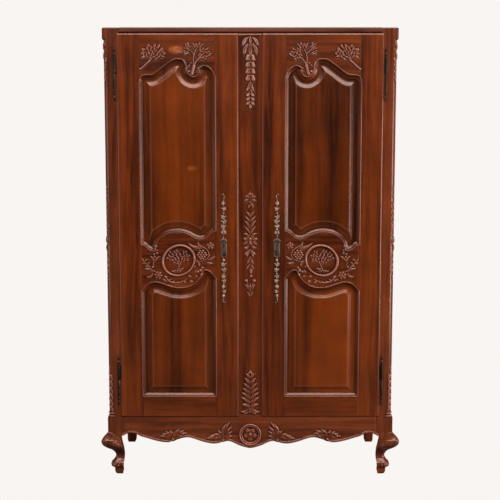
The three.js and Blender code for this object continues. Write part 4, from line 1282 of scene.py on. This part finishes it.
def carve_escutcheon(relief):
    """A slender cast strip of curls and leaves above and below a keyhole plate."""
    c = LOCK_X
    sway = [(c + 2.2 * math.sin(z / 17), z) for z in range(800, 1281, 12)]
    relief.stroke(smooth(sway, 4), 4.2, 2.2, taper=(0.5, 0.5), moat=0)
    relief.stem([(c + 1, 1256), (c - 3, 1268), (c + 1, 1278), (c + 7, 1279), (c + 8, 1272)], 3.4, 3.0,
                (1, 0.6), moat=0)
    relief.stem([(c, 822), (c + 4, 810), (c + 1, 799), (c - 5, 798), (c - 7, 804)], 3.4, 3.0, (1, 0.6),
                moat=0)
    for z, width, turn in ((1236, 15, 1), (1212, 18, -1), (1176, 20, 1), (1156, 22, -1), (1134, 20, 1),
                           (966, 20, 1), (942, 18, -1), (912, 18, 1), (892, 17, -1), (866, 14, 1),
                           (845, 14, -1), (826, 10, 1)):
        cast_husk(relief, (c, z), width, turn)
    relief.husk((c, 1102), 12, 16, 3.4)
    relief.berry((c, 986), 6.5, 3.6, moat=0)
    for z, radius in ((1248, 3.4), (1194, 4.2), (1122, 4.6), (926, 4.2), (878, 3.6)):
        relief.berry((c, z), radius, 3.4, moat=0)
    plate = [(c, 998), (c + 8, 999), (c + 13, 1004), (c + 14, 1016), (c + 12.5, 1034),
             (c + 13.5, 1050), (c + 13, 1064), (c + 16, 1074), (c + 14, 1078), (c + 7, 1080), (c, 1084)]
    right = smooth(plate, 5)
    outline = np.vstack([right, right[::-1] * (-1, 1) + (2 * c, 0)])
    inside = distance_inside(relief.u, relief.z, outline)
    rim = np.interp(inside, [0, 1.2, 2.6, 4.2, 5.5], [0.9, 1.7, 2.0, 1.6, 1.5])
    relief.height = np.where(inside > 0, np.maximum(rim, relief.height * (inside < 3)), relief.height)
    relief.stem([(c - 15, 1072), (c - 8, 1078), (c, 1081), (c + 8, 1078), (c + 15, 1072)], 5.0, 2.8,
                (1, 1), moat=0)
    relief.stroke(oval((c, KEYHOLE + 2), 7.5, 16), 2.4, 2.1, moat=0)


def keyhole_distance(u, z):
    """Distance outside the keyhole: a round hole over a slot."""
    round_part = np.hypot(u - LOCK_X, z - KEYHOLE - 6) - 4.2
    slot = np.maximum(np.abs(u - LOCK_X) - 2.0, np.abs(z - KEYHOLE + 2) - 9)
    return np.minimum(round_part, slot)


def escutcheon(name, side):
    """The cast keyhole plate, with the gaps between its leaves left open."""
    low, high = limits("right_escutcheon")
    relief = Relief(lattice(low[0], high[0], 0.7, 0.7), lattice(low[2], high[2], 0.75, 0.75))
    carve_escutcheon(relief)
    middle_height = (relief.height[:-1, :-1] + relief.height[1:, 1:]) / 2
    kept = (middle_height > 0.5) & (keyhole_distance(*relief.middles()) > 0)
    return cast_solid(name, relief, kept,
                      lambda u, z, rise: np.stack([side * u, ESCUTCHEON_BACK - rise, z], -1))


def lock(word):
    """The lock's case, let into the back of the door, and its bolt."""
    side, body = SIDES[word], f"{word}_door"
    low, high = limits("right_lock_case")
    case = board(f"{word}_case_body", (side * low[0], low[1], low[2]),
                 (side * high[0], high[1] + 1.2, high[2]), 0.8)
    screws = [turned(f"{word}_case_screw_{k}", [(0, 0), (3.0, 0), (3.4, 0.4), (3.0, 1.3), (0, 1.8)],
                     facing_back(side * u, DOOR_BACK + 0.9, z), 16)
              for k, (u, z) in enumerate(((70, 1008), (128, 1008), (70, 1082), (128, 1082)))]
    boss = turned(f"{word}_case_boss", [(0, 0), (7, 0), (7.4, 0.6), (6.4, 1.8), (3, 2.2), (0, 2.2)],
                  facing_back(side * LOCK_X, DOOR_BACK + 1.0, KEYHOLE), 24)
    stand_in(join(f"{word}_lock_case_shape", [case, boss, *screws]), body, STEEL)
    low, high = limits("right_lock_bolt")
    bolt = board(f"{word}_lock_bolt_shape", (side * low[0], low[1], low[2]),
                 (side * high[0], high[1], high[2]), 0.8)
    stand_in(bolt, f"{word}_bolt", STEEL)


# ------------------------------------------------------------------ case, shelves and back
BOARD_FRONT = FRONT - 8.0  # the top's front band stands proud of the posts
PLANKS = 9


def between_posts():
    """Where a side's rails and panels start and end, from the front post to the rear one."""
    return limits("front_post_right")[1][1] + TOUCH, limits("rear_post_right")[0][1] - TOUCH


def top_board(name):
    """The top, with its front band let in between the posts' caps."""
    post_back = between_posts()[0]
    inner, outer = POST_INNER - TOUCH, BLOCK_OUTER
    right = [(inner, BOARD_FRONT), (inner, post_back), (outer, post_back), (outer, BACK)]
    outline = [*right, *[(-x, y) for x, y in right[::-1]]]
    piece = prism(name, outline, lambda u, v, h: np.stack([u, v, h], -1), BOARD_BOTTOM, HEIGHT - 0.5)
    return soften(piece, 5.0, 4)


def across_front(u, v, h):
    return np.stack([h, u, v], -1)


def top_rail(name):
    """The rail over the doors: a narrow fillet in front and a door stop behind it."""
    low, high = limits("top_rail")
    front, stop = low[1], high[1] - 23
    section = [(front, 1963), (front + 1.5, 1961.5), (front + 10, 1961.5), (stop, 1962), (stop, low[2]),
               (high[1], low[2]), (high[1], high[2]), (front, high[2])]
    reach = POST_INNER - TOUCH
    piece = soften(prism(name, section, across_front, -reach, reach), 1.0)
    bead = [(front + 2, 1964), (front - 2.4, 1965), (front - 3.4, 1968), (front - 2.4, 1971),
            (front + 2, 1972)]
    reach = DOOR_IN - 1.5
    return join(name, [piece, prism(f"{name}_fillet", bead, across_front, -reach, reach)])


def rear_post(name, side):
    """A square post that narrows a little towards its foot, with its outer front edge canted."""
    low, high = limits("rear_post_right")
    cant = 7.0
    x0, x1, y0, y1 = low[0] + 1, high[0], low[1], high[1]
    outline = np.array([(x0, y0), (x1 - cant, y0), (x1, y0 + cant), (x1, y1), (x0, y1)])
    levels = lattice(0, high[2], 12, 60, [(0, 60)])
    narrowing = np.interp(levels, [0, 3, 40, 215], [7, 4, 2, 0])
    middle = np.array([(x0 + x1) / 2, (y0 + y1) / 2])
    loops = middle + (outline - middle)[None] * (1 - narrowing[:, None, None] / 30)
    z = np.broadcast_to(levels[:, None, None], (*loops.shape[:2], 1))
    loops = np.concatenate([loops[..., :1] * side, loops[..., 1:], z], -1)
    return soften(lofted(name, loops, sharp=30), 1.5)


SIDE_FACE = limits("side_upper_panel_right")[1][0]
PANEL_HIDDEN = 8.3  # what the rails' grooves hide of a side panel, above and below
# Rise against distance inside a side panel's edge: a bead, a flat margin and a raised field.
SIDE_FIELD = ([0, 1.5, 4, 7, 10, 11.5, 13, 38, 40, 58, 60, 61],
              [3.5, 4.6, 5.4, 5.0, 3.4, 1.4, 0, 0, 0.2, 3.4, 4.3, 4.5])
SIDE_BUSY = 64.0  # the width of the panel's border that the raised field's edge needs


def side_panel(name, side, level):
    """A raised panel with a bead round it, seen on the armoire's side."""
    low, high = limits(f"side_{level}_panel_right")
    y0, y1 = between_posts()
    z0, z1 = low[2] + PANEL_HIDDEN, high[2] - PANEL_HIDDEN
    ys = lattice(y0, y1, 1.6, 24, [(y0, y0 + SIDE_BUSY), (y1 - SIDE_BUSY, y1)])
    zs = lattice(z0, z1, 1.6, 40, [(z0, z0 + SIDE_BUSY), (z1 - SIDE_BUSY, z1)])

    def ground(y, z):
        inside = np.minimum(np.minimum(y - y0, y1 - y), np.minimum(z - z0, z1 - z))
        return np.interp(inside, *SIDE_FIELD)

    def place(y, z, rise):
        return np.stack([side * (SIDE_FACE + rise), y, z], -1)

    kept = np.ones((ys.size - 1, zs.size - 1), bool)
    return relief_solid(name, Relief(ys, zs, ground), kept, place, [(low[0] - high[0], flat)])


def side_rail(name, side, level):
    low, high = limits(f"side_{level}_rail_right")
    y0, y1 = between_posts()
    return board(name, (side * low[0], y0, low[2]), (side * high[0], y1, high[2]), 2.0)


def back_planks(name):
    """Upright planks with a V groove at each joint."""
    low, high = limits("back_panel")
    edges = np.linspace(low[0], high[0], PLANKS + 1)
    planks = [board(f"back_plank_{k}", (a + 0.1, low[1], low[2]), (b - 0.1, high[1], high[2]), 2.0, 1)
              for k, (a, b) in enumerate(zip(edges, edges[1:]))]
    return join(name, planks)


def build_rod():
    """The hanging rod and the two cups that hold its ends."""
    low, high = limits("hanging_rod")
    y, z, radius = (low[1] + high[1]) / 2, (low[2] + high[2]) / 2, (high[2] - low[2]) / 2
    rod = turned("hanging_rod_shape", [(0, low[0]), (radius - 1, low[0]), (radius, low[0] + 1.5),
                                       (radius, high[0] - 1.5), (radius - 1, high[0]), (0, high[0])],
                 along_rod(0, y, z))
    stand_in(rod, "carcass", INSIDE_WOOD["across"])
    for word, turn in (("left", 1), ("right", -1)):
        node = f"rod_socket_{word}"
        start, end = limits(node)
        wall, mouth = (start[0], end[0]) if turn > 0 else (end[0], start[0])
        reach = abs(mouth - wall)
        profile = [(0, 0), (23, 0), (24, 1.2), (23, 3), (19.5, 4), (18, 5.5), (18, reach - 2),
                   (17, reach - 0.3), (15, reach), (14.4, reach - 1), (14.4, 4.6), (0, 4.6)]
        socket = turned(f"{node}_shape", [(r, turn * h) for r, h in profile], along_rod(wall, y, z))
        stand_in(socket, "carcass", BRASS)


# ------------------------------------------------------------------ materials
GRAIN_AXES = {"across": 0, "deep": 1, "upright": 2}


def feed(tree, socket, value):
    """Links a socket to the given one, or sets it to the given value."""
    if isinstance(value, bpy.types.NodeSocket):
        tree.links.new(value, socket)
    else:
        socket.default_value = value


def add(tree, kind, inputs=None, **settings):
    """A shader node. An input given a socket is linked, and one given a value is set."""
    made = tree.nodes.new(kind)
    for key, value in settings.items():
        setattr(made, key, value)
    for key, value in (inputs or {}).items():
        feed(tree, made.inputs[key], value)
    return made


def mixed(tree, share, first, second):
    """Two colours mixed. A colour Mix node's own sockets are its inputs 0, 6 and 7."""
    made = add(tree, "ShaderNodeMix", {0: share}, data_type="RGBA")
    feed(tree, made.inputs[6], first)
    feed(tree, made.inputs[7], second)
    return made.outputs[2]


def ranged(tree, value, from_low, from_high, to_low, to_high):
    """A value moved from one range to another and held within it."""
    made = add(tree, "ShaderNodeMapRange", {0: value, 1: from_low, 2: from_high, 3: to_low, 4: to_high})
    return made.outputs[0]


def noise(tree, place, scale, detail=3.0, rough=0.55):
    made = add(tree, "ShaderNodeTexNoise",
               {"Vector": place, "Scale": scale, "Detail": detail, "Roughness": rough})
    return made.outputs["Fac"]


def calculated(tree, operation, first, second):
    return add(tree, "ShaderNodeMath", {0: first, 1: second}, operation=operation).outputs[0]


def srgb(red, green, blue):
    """A colour from its 0 to 255 screen values."""
    shares = (channel / 255 for channel in (red, green, blue))
    return (*(s / 12.92 if s <= 0.04045 else ((s + 0.055) / 1.055) ** 2.4 for s in shares), 1)


def new_material(name):
    material = bpy.data.materials.new(name)
    material.use_nodes = True
    tree = material.node_tree
    tree.nodes.clear()
    return material, tree


def finish_material(tree, shader):
    add(tree, "ShaderNodeOutputMaterial", {"Surface": shader.outputs[0]})


def grain_places(tree, grain):
    """Coordinates that drift a little from piece to piece, and the same stretched along the grain."""
    place = add(tree, "ShaderNodeTexCoord").outputs["Object"]
    piece = add(tree, "ShaderNodeObjectInfo").outputs["Random"]
    shift = ranged(tree, piece, 0, 1, 0, 7)
    offset = add(tree, "ShaderNodeCombineXYZ", {0: shift, 1: shift, 2: shift}).outputs[0]
    moved = add(tree, "ShaderNodeVectorMath", {0: place, 1: offset}, operation="ADD").outputs[0]
    sway = add(tree, "ShaderNodeTexNoise", {"Vector": moved, "Scale": 2.2, "Detail": 1.0})
    swayed = add(tree, "ShaderNodeVectorMath",
                 {0: sway.outputs["Color"], 1: (0.03, 0.03, 0.03), 2: moved},
                 operation="MULTIPLY_ADD").outputs[0]
    scale = [1.0, 1.0, 1.0]
    scale[GRAIN_AXES[grain]] = 0.045
    stretched = add(tree, "ShaderNodeMapping", {"Vector": swayed, "Scale": scale}).outputs[0]
    return piece, moved, stretched


def stained_wood(tree, piece, place, stretched, fibres, streaks, dark, middle, light, figure):
    """Streaks of two colours, a ribbon figure of the third and a tone that drifts."""
    ribbon = ranged(tree, noise(tree, stretched, 9, 2), 0.38, 0.62, 0, 1)
    mottle = ranged(tree, noise(tree, place, 5.5, 3), 0.35, 0.68, 0, 1)
    colour = mixed(tree, streaks, srgb(*dark), srgb(*middle))
    share = calculated(tree, "MULTIPLY", ribbon, figure)
    colour = mixed(tree, share, colour, srgb(*light))
    shade = ranged(tree, mottle, 0, 1, 0.82, 1.16)
    piece_tone = ranged(tree, piece, 0, 1, 0.96, 1.05)
    fibre_tone = ranged(tree, fibres, 0.25, 0.75, 0.86, 1.12)
    tone = calculated(tree, "MULTIPLY", calculated(tree, "MULTIPLY", shade, piece_tone), fibre_tone)
    return add(tree, "ShaderNodeHueSaturation", {"Value": tone, "Color": colour}).outputs[0]


def worn_and_shaded_wood(tree, colour, place, streaks):
    """The stain with wax and painted shade in its hollows, pale ridges that are rubbed and carry a painted
    highlight, and bare chips.
    """
    wear_and_shading = add(tree, "ShaderNodeAttribute", attribute_name="wear_and_shading").outputs["Fac"]
    # Painted shade: the hollows go near black, for the shadow that falls in them as well as gathered wax.
    hollow_shade_and_wax = ranged(tree, wear_and_shading, -1.0, -0.05, 0.92, 0)
    colour = mixed(tree, hollow_shade_and_wax, colour, srgb(14, 4, 2))
    # Painted highlight: the ridges go pale pink, for the light that they catch as well as rubbing.
    ridge_highlight_and_rub = ranged(tree, wear_and_shading, 0.1, 0.95, 0, 0.75)
    colour = mixed(tree, ridge_highlight_and_rub, colour, srgb(156, 98, 82))
    bare = add(tree, "ShaderNodeAttribute", attribute_name="bare").outputs["Fac"]
    torn = ranged(tree, calculated(tree, "MULTIPLY", bare, noise(tree, place, 70, 4)), 0.08, 0.6, 0, 1)
    raw = mixed(tree, streaks, srgb(118, 56, 26), srgb(160, 88, 48))
    return mixed(tree, torn, colour, raw), hollow_shade_and_wax


def varnished(tree, colour, place, stretched, fibres, pores, hollow_shade_and_wax, gloss):
    """A warm varnish, duller in the hollows, that follows the pores and is not quite level."""
    rough = ranged(tree, noise(tree, place, 14, 4), 0.3, 0.7, gloss - 0.03, gloss + 0.04)
    rough = calculated(tree, "ADD", rough, calculated(tree, "MULTIPLY", hollow_shade_and_wax, 0.3))
    height = calculated(tree, "SUBTRACT", calculated(tree, "MULTIPLY", fibres, 0.35), pores)
    bump = add(tree, "ShaderNodeBump", {"Strength": 0.15, "Distance": 0.0004, "Height": height})
    waviness = add(tree, "ShaderNodeBump", {"Strength": 0.12, "Distance": 0.004,
                                            "Height": noise(tree, stretched, 24, 2),
                                            "Normal": bump.outputs[0]})
    return add(tree, "ShaderNodeBsdfPrincipled",
               {"Base Color": colour, "Roughness": rough, "Specular IOR Level": 0.42,
                "Specular Tint": (1.0, 0.84, 0.78, 1), "Normal": waviness.outputs[0]})


def mahogany(name, grain, dark, middle, light, figure=0.3, gloss=0.235):
    """Stained and varnished mahogany with its grain along one axis."""
    material, tree = new_material(name)
    piece, place, stretched = grain_places(tree, grain)
    streaks = ranged(tree, noise(tree, stretched, 52, 5, 0.6), 0.35, 0.65, 0, 1)
    fibres = noise(tree, stretched, 420, 3, 0.6)
    colour = stained_wood(tree, piece, place, stretched, fibres, streaks, dark, middle, light, figure)
    colour, hollow_shade_and_wax = worn_and_shaded_wood(tree, colour, place, streaks)
    pores = ranged(tree, noise(tree, stretched, 900, 2), 0.56, 0.66, 0, 1)
    colour = mixed(tree, calculated(tree, "MULTIPLY", pores, 0.22), colour, srgb(24, 8, 3))
    finish_material(tree, varnished(tree, colour, place, stretched, fibres, pores, hollow_shade_and_wax, gloss))
    return material


def aged_metal(name, bright, dull, rough, metallic=0.9):
    """Cast metal gone dark in its hollows, with rubbed ridges and fine pitting."""
    material, tree = new_material(name)
    place = add(tree, "ShaderNodeTexCoord").outputs["Object"]
    patina = ranged(tree, noise(tree, place, 60, 4, 0.65), 0.35, 0.62, 0, 1)
    wear_and_shading = add(tree, "ShaderNodeAttribute", attribute_name="wear_and_shading").outputs["Fac"]
    rubbed = ranged(tree, wear_and_shading, -0.1, 0.7, 0, 1)
    share = calculated(tree, "ADD", calculated(tree, "MULTIPLY", patina, 0.45), rubbed)
    colour = mixed(tree, ranged(tree, share, 0, 1.2, 0, 1), srgb(*dull), srgb(*bright))
    pitting = noise(tree, place, 900, 3)
    roughness = ranged(tree, patina, 0, 1, rough + 0.15, rough - 0.05)
    bump = add(tree, "ShaderNodeBump", {"Strength": 0.3, "Distance": 0.0004, "Height": pitting})
    shader = add(tree, "ShaderNodeBsdfPrincipled",
                 {"Base Color": colour, "Roughness": roughness, "Metallic": metallic,
                  "Normal": bump.outputs[0]})
    finish_material(tree, shader)
    return material


def wood_set(slot, prefix, *colours, **settings):
    """A wood for each way that its grain may run, with the record's slot for it."""
    return {grain: (mahogany(f"{prefix} {grain}", grain, *colours, **settings), slot)
            for grain in GRAIN_AXES}


FRAME_WOOD = wood_set("mahogany", "mahogany", (46, 16, 5), (95, 38, 9), (124, 56, 17), figure=0.4)
CASE_WOOD = wood_set("mahogany", "case mahogany", (55, 22, 10), (104, 47, 22), (130, 63, 33),
                     figure=0.35)
TOP_WOOD = wood_set("mahogany", "top mahogany", (56, 28, 20), (90, 50, 37), (112, 66, 50), figure=0.35)
PANEL_WOOD = wood_set("panel_mahogany", "panel mahogany", (36, 11, 1), (73, 27, 3), (117, 50, 8),
                      figure=0.75)
INSIDE_WOOD = wood_set("inside_wood", "inside wood", (112, 70, 46), (142, 95, 62), (158, 110, 76),
                       figure=0.4, gloss=0.5)
BRASS = (aged_metal("aged brass", (164, 142, 130), (34, 25, 18), 0.42, 0.8), "aged_brass")
# The same aged brass as the escutcheon's, made darker on the hinges as painted shade for the dark gap
# between door and post where they stand.
SHADED_BRASS = (aged_metal("brass painted as in shade", (78, 64, 52), (15, 11, 8), 0.36, 0.8), "aged_brass")
STEEL = (aged_metal("dark steel", (112, 108, 102), (46, 42, 38), 0.4), "steel")


# ------------------------------------------------------------------ putting pieces in place
def stand_in(piece, body, finish):
    """Finishes a piece and rides it on a body, in place of the CAD node that it is named after."""
    material, slot = finish
    piece.data.materials.clear()
    piece.data.materials.append(material)
    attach(piece, body)
    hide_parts(piece.name.removesuffix("_shape"))


# Each door rail's lowest and highest points, mouldings included, and its spans of fine lattice.
DOOR_RAILS = {
    "top": (1769, DOOR_TOP, [(1769, 1945), (DOOR_TOP - EASED_WIDTH, DOOR_TOP)]),
    "mid": (841, 1133, [(841, 1133)]),
    "bottom": (DOOR_BOTTOM, SILL + MOULDING_WIDTH,
               [(DOOR_BOTTOM, DOOR_BOTTOM + EASED_WIDTH), (SILL - 11, SILL + MOULDING_WIDTH)])}


def build_door(word):
    """A door's stiles, rails and panels. The broken twig is on the left one only."""
    side, body = SIDES[word], f"{word}_door"
    stand_in(stile(f"{body}_hinge_stile_shape", side, "hinge"), body, FRAME_WOOD["upright"])
    lock_stile = bolt_pocket(stile(f"{body}_lock_stile_shape", side, "lock"), side)
    stand_in(lock_stile, body, FRAME_WOOD["upright"])
    top = carve_top_rail_with_twig if word == "left" else carve_top_rail
    carvings = {"top": top, "mid": carve_mid_rail, "bottom": carve_nothing}
    for level, (low, high, busy) in DOOR_RAILS.items():
        piece = rail(f"{body}_{level}_rail_shape", side, low, high, carvings[level], busy)
        stand_in(piece, body, FRAME_WOOD["across"])
    for level in OPENINGS:
        stand_in(door_panel(f"{body}_{level}_panel_shape", side, level), body, PANEL_WOOD["upright"])


# ------------------------------------------------------------------ floor, lights and camera
PALE = srgb(249, 245, 242)


def stage_material(name):
    """A pale surface that shows evenly to the camera but lights the wood only a little."""
    material, tree = new_material(name)
    seen = add(tree, "ShaderNodeLightPath").outputs["Is Camera Ray"]
    dim = add(tree, "ShaderNodeBsdfDiffuse", {"Color": (0.12, 0.112, 0.105, 1)})
    glow = add(tree, "ShaderNodeEmission", {"Color": PALE, "Strength": 1.0})
    chosen = add(tree, "ShaderNodeMixShader", {0: seen, 1: dim.outputs[0], 2: glow.outputs[0]})
    finish_material(tree, chosen)
    return material


def add_floor():
    half = 30.0
    mesh = bpy.data.meshes.new("floor")
    mesh.from_pydata([(-half, -half, 0), (half, -half, 0), (half, half, 0), (-half, half, 0)], [],
                     [(0, 1, 2, 3)])
    floor = bpy.data.objects.new("floor", mesh)
    bpy.context.scene.collection.objects.link(floor)
    mesh.materials.append(stage_material("pale floor"))


def add_world():
    """A pale surround to the camera, and a dim studio to everything else."""
    world = bpy.data.worlds.new("studio")
    bpy.context.scene.world = world
    world.use_nodes = True
    tree = world.node_tree
    tree.nodes.clear()
    seen = add(tree, "ShaderNodeLightPath").outputs["Is Camera Ray"]
    dim = add(tree, "ShaderNodeBackground", {"Color": (0.9, 0.95, 1.0, 1), "Strength": 0.07})
    pale = add(tree, "ShaderNodeBackground", {"Color": PALE, "Strength": 1.0})
    chosen = add(tree, "ShaderNodeMixShader", {0: seen, 1: dim.outputs[0], 2: pale.outputs[0]})
    add(tree, "ShaderNodeOutputWorld", {"Surface": chosen.outputs[0]})


def add_softbox(name, place, aim, width, height, power, colour):
    """A rectangular light, in metres and watts, aimed at a point."""
    lamp = bpy.data.lights.new(name, "AREA")
    lamp.shape = "RECTANGLE"
    lamp.size, lamp.size_y = width, height
    lamp.energy, lamp.color = power, colour
    holder = bpy.data.objects.new(name, lamp)
    holder.location = place
    way = Vector(aim) - Vector(place)
    holder.rotation_euler = way.to_track_quat("-Z", "Y").to_euler()
    bpy.context.scene.collection.objects.link(holder)


def add_lights():
    warm = (1.0, 0.93, 0.87)
    add_softbox("overhead", (0.7, -4.8, 5.9), (0, -0.3, 0.9), 7.2, 2.8, 745, warm)
    add_softbox("right", (4.7, -1.7, 1.1), (0, 0, 0.8), 2.6, 2.2, 210, warm)
    add_softbox("left", (-4.6, -1.1, 1.2), (0, 0, 0.9), 2.2, 2.0, 40, warm)
    add_softbox("behind", (0, 3.8, 3.4), (0, 0.3, 1.0), 3.0, 1.6, 110, (0.95, 0.97, 1.0))


def add_camera():
    """A long lens a little above the armoire's middle, tilted down to take in its feet."""
    lens = bpy.data.cameras.new("camera")
    lens.sensor_width = 36.0
    lens.lens = 61.56
    lens.shift_y = 0.044
    camera = bpy.data.objects.new("camera", lens)
    camera.location = (-0.001, -4.059, 1.307)
    camera.rotation_euler = (math.pi / 2 - 0.09819, 0, 0)
    bpy.context.scene.collection.objects.link(camera)
    bpy.context.scene.camera = camera


add_world()
add_floor()
add_lights()
add_camera()
bpy.context.scene.view_settings.view_transform = "Standard"


# ------------------------------------------------------------------ the armoire
def build_case_front():
    """The centre post, apron, top board and rail, and the two front posts."""
    stand_in(centre_post("centre_post_shape"), "carcass", FRAME_WOOD["upright"])
    stand_in(apron("apron_rail_shape"), "carcass", CASE_WOOD["across"])
    stand_in(top_board("top_board_shape"), "carcass", TOP_WOOD["across"])
    stand_in(top_rail("top_rail_shape"), "carcass", CASE_WOOD["across"])
    for word, side in SIDES.items():
        stand_in(front_post(f"front_post_{word}_shape", side), "carcass", CASE_WOOD["upright"])


def build_sides():
    """On each side the rear post, three rails and two raised panels."""
    for word, side in SIDES.items():
        stand_in(rear_post(f"rear_post_{word}_shape", side), "carcass", FRAME_WOOD["upright"])
        for level in ("bottom", "mid", "top"):
            piece = side_rail(f"side_{level}_rail_{word}_shape", side, level)
            stand_in(piece, "carcass", FRAME_WOOD["deep"])
        for level in ("upper", "lower"):
            piece = side_panel(f"side_{level}_panel_{word}_shape", side, level)
            stand_in(piece, "carcass", PANEL_WOOD["upright"])


def build_inside():
    """The back, the partition, the bottom and shelves, and the hanging rod."""
    stand_in(back_planks("back_panel_shape"), "carcass", INSIDE_WOOD["upright"])
    for node in ("partition", "bottom_board", "hat_shelf", "shelf_lower", "shelf_middle", "shelf_upper"):
        grain = "upright" if node == "partition" else "across"
        stand_in(board(f"{node}_shape", *limits(node), 1.8), "carcass", INSIDE_WOOD[grain])
    build_rod()


def build_hardware():
    """Each door's two hinges, escutcheon and lock."""
    for word, side in SIDES.items():
        for level in HINGE_SPANS:
            hinge(word, level)
        stand_in(escutcheon(f"{word}_escutcheon_shape", side), f"{word}_door", BRASS)
        lock(word)


build_case_front()
build_sides()
build_inside()
for word in SIDES:
    build_door(word)
build_hardware()
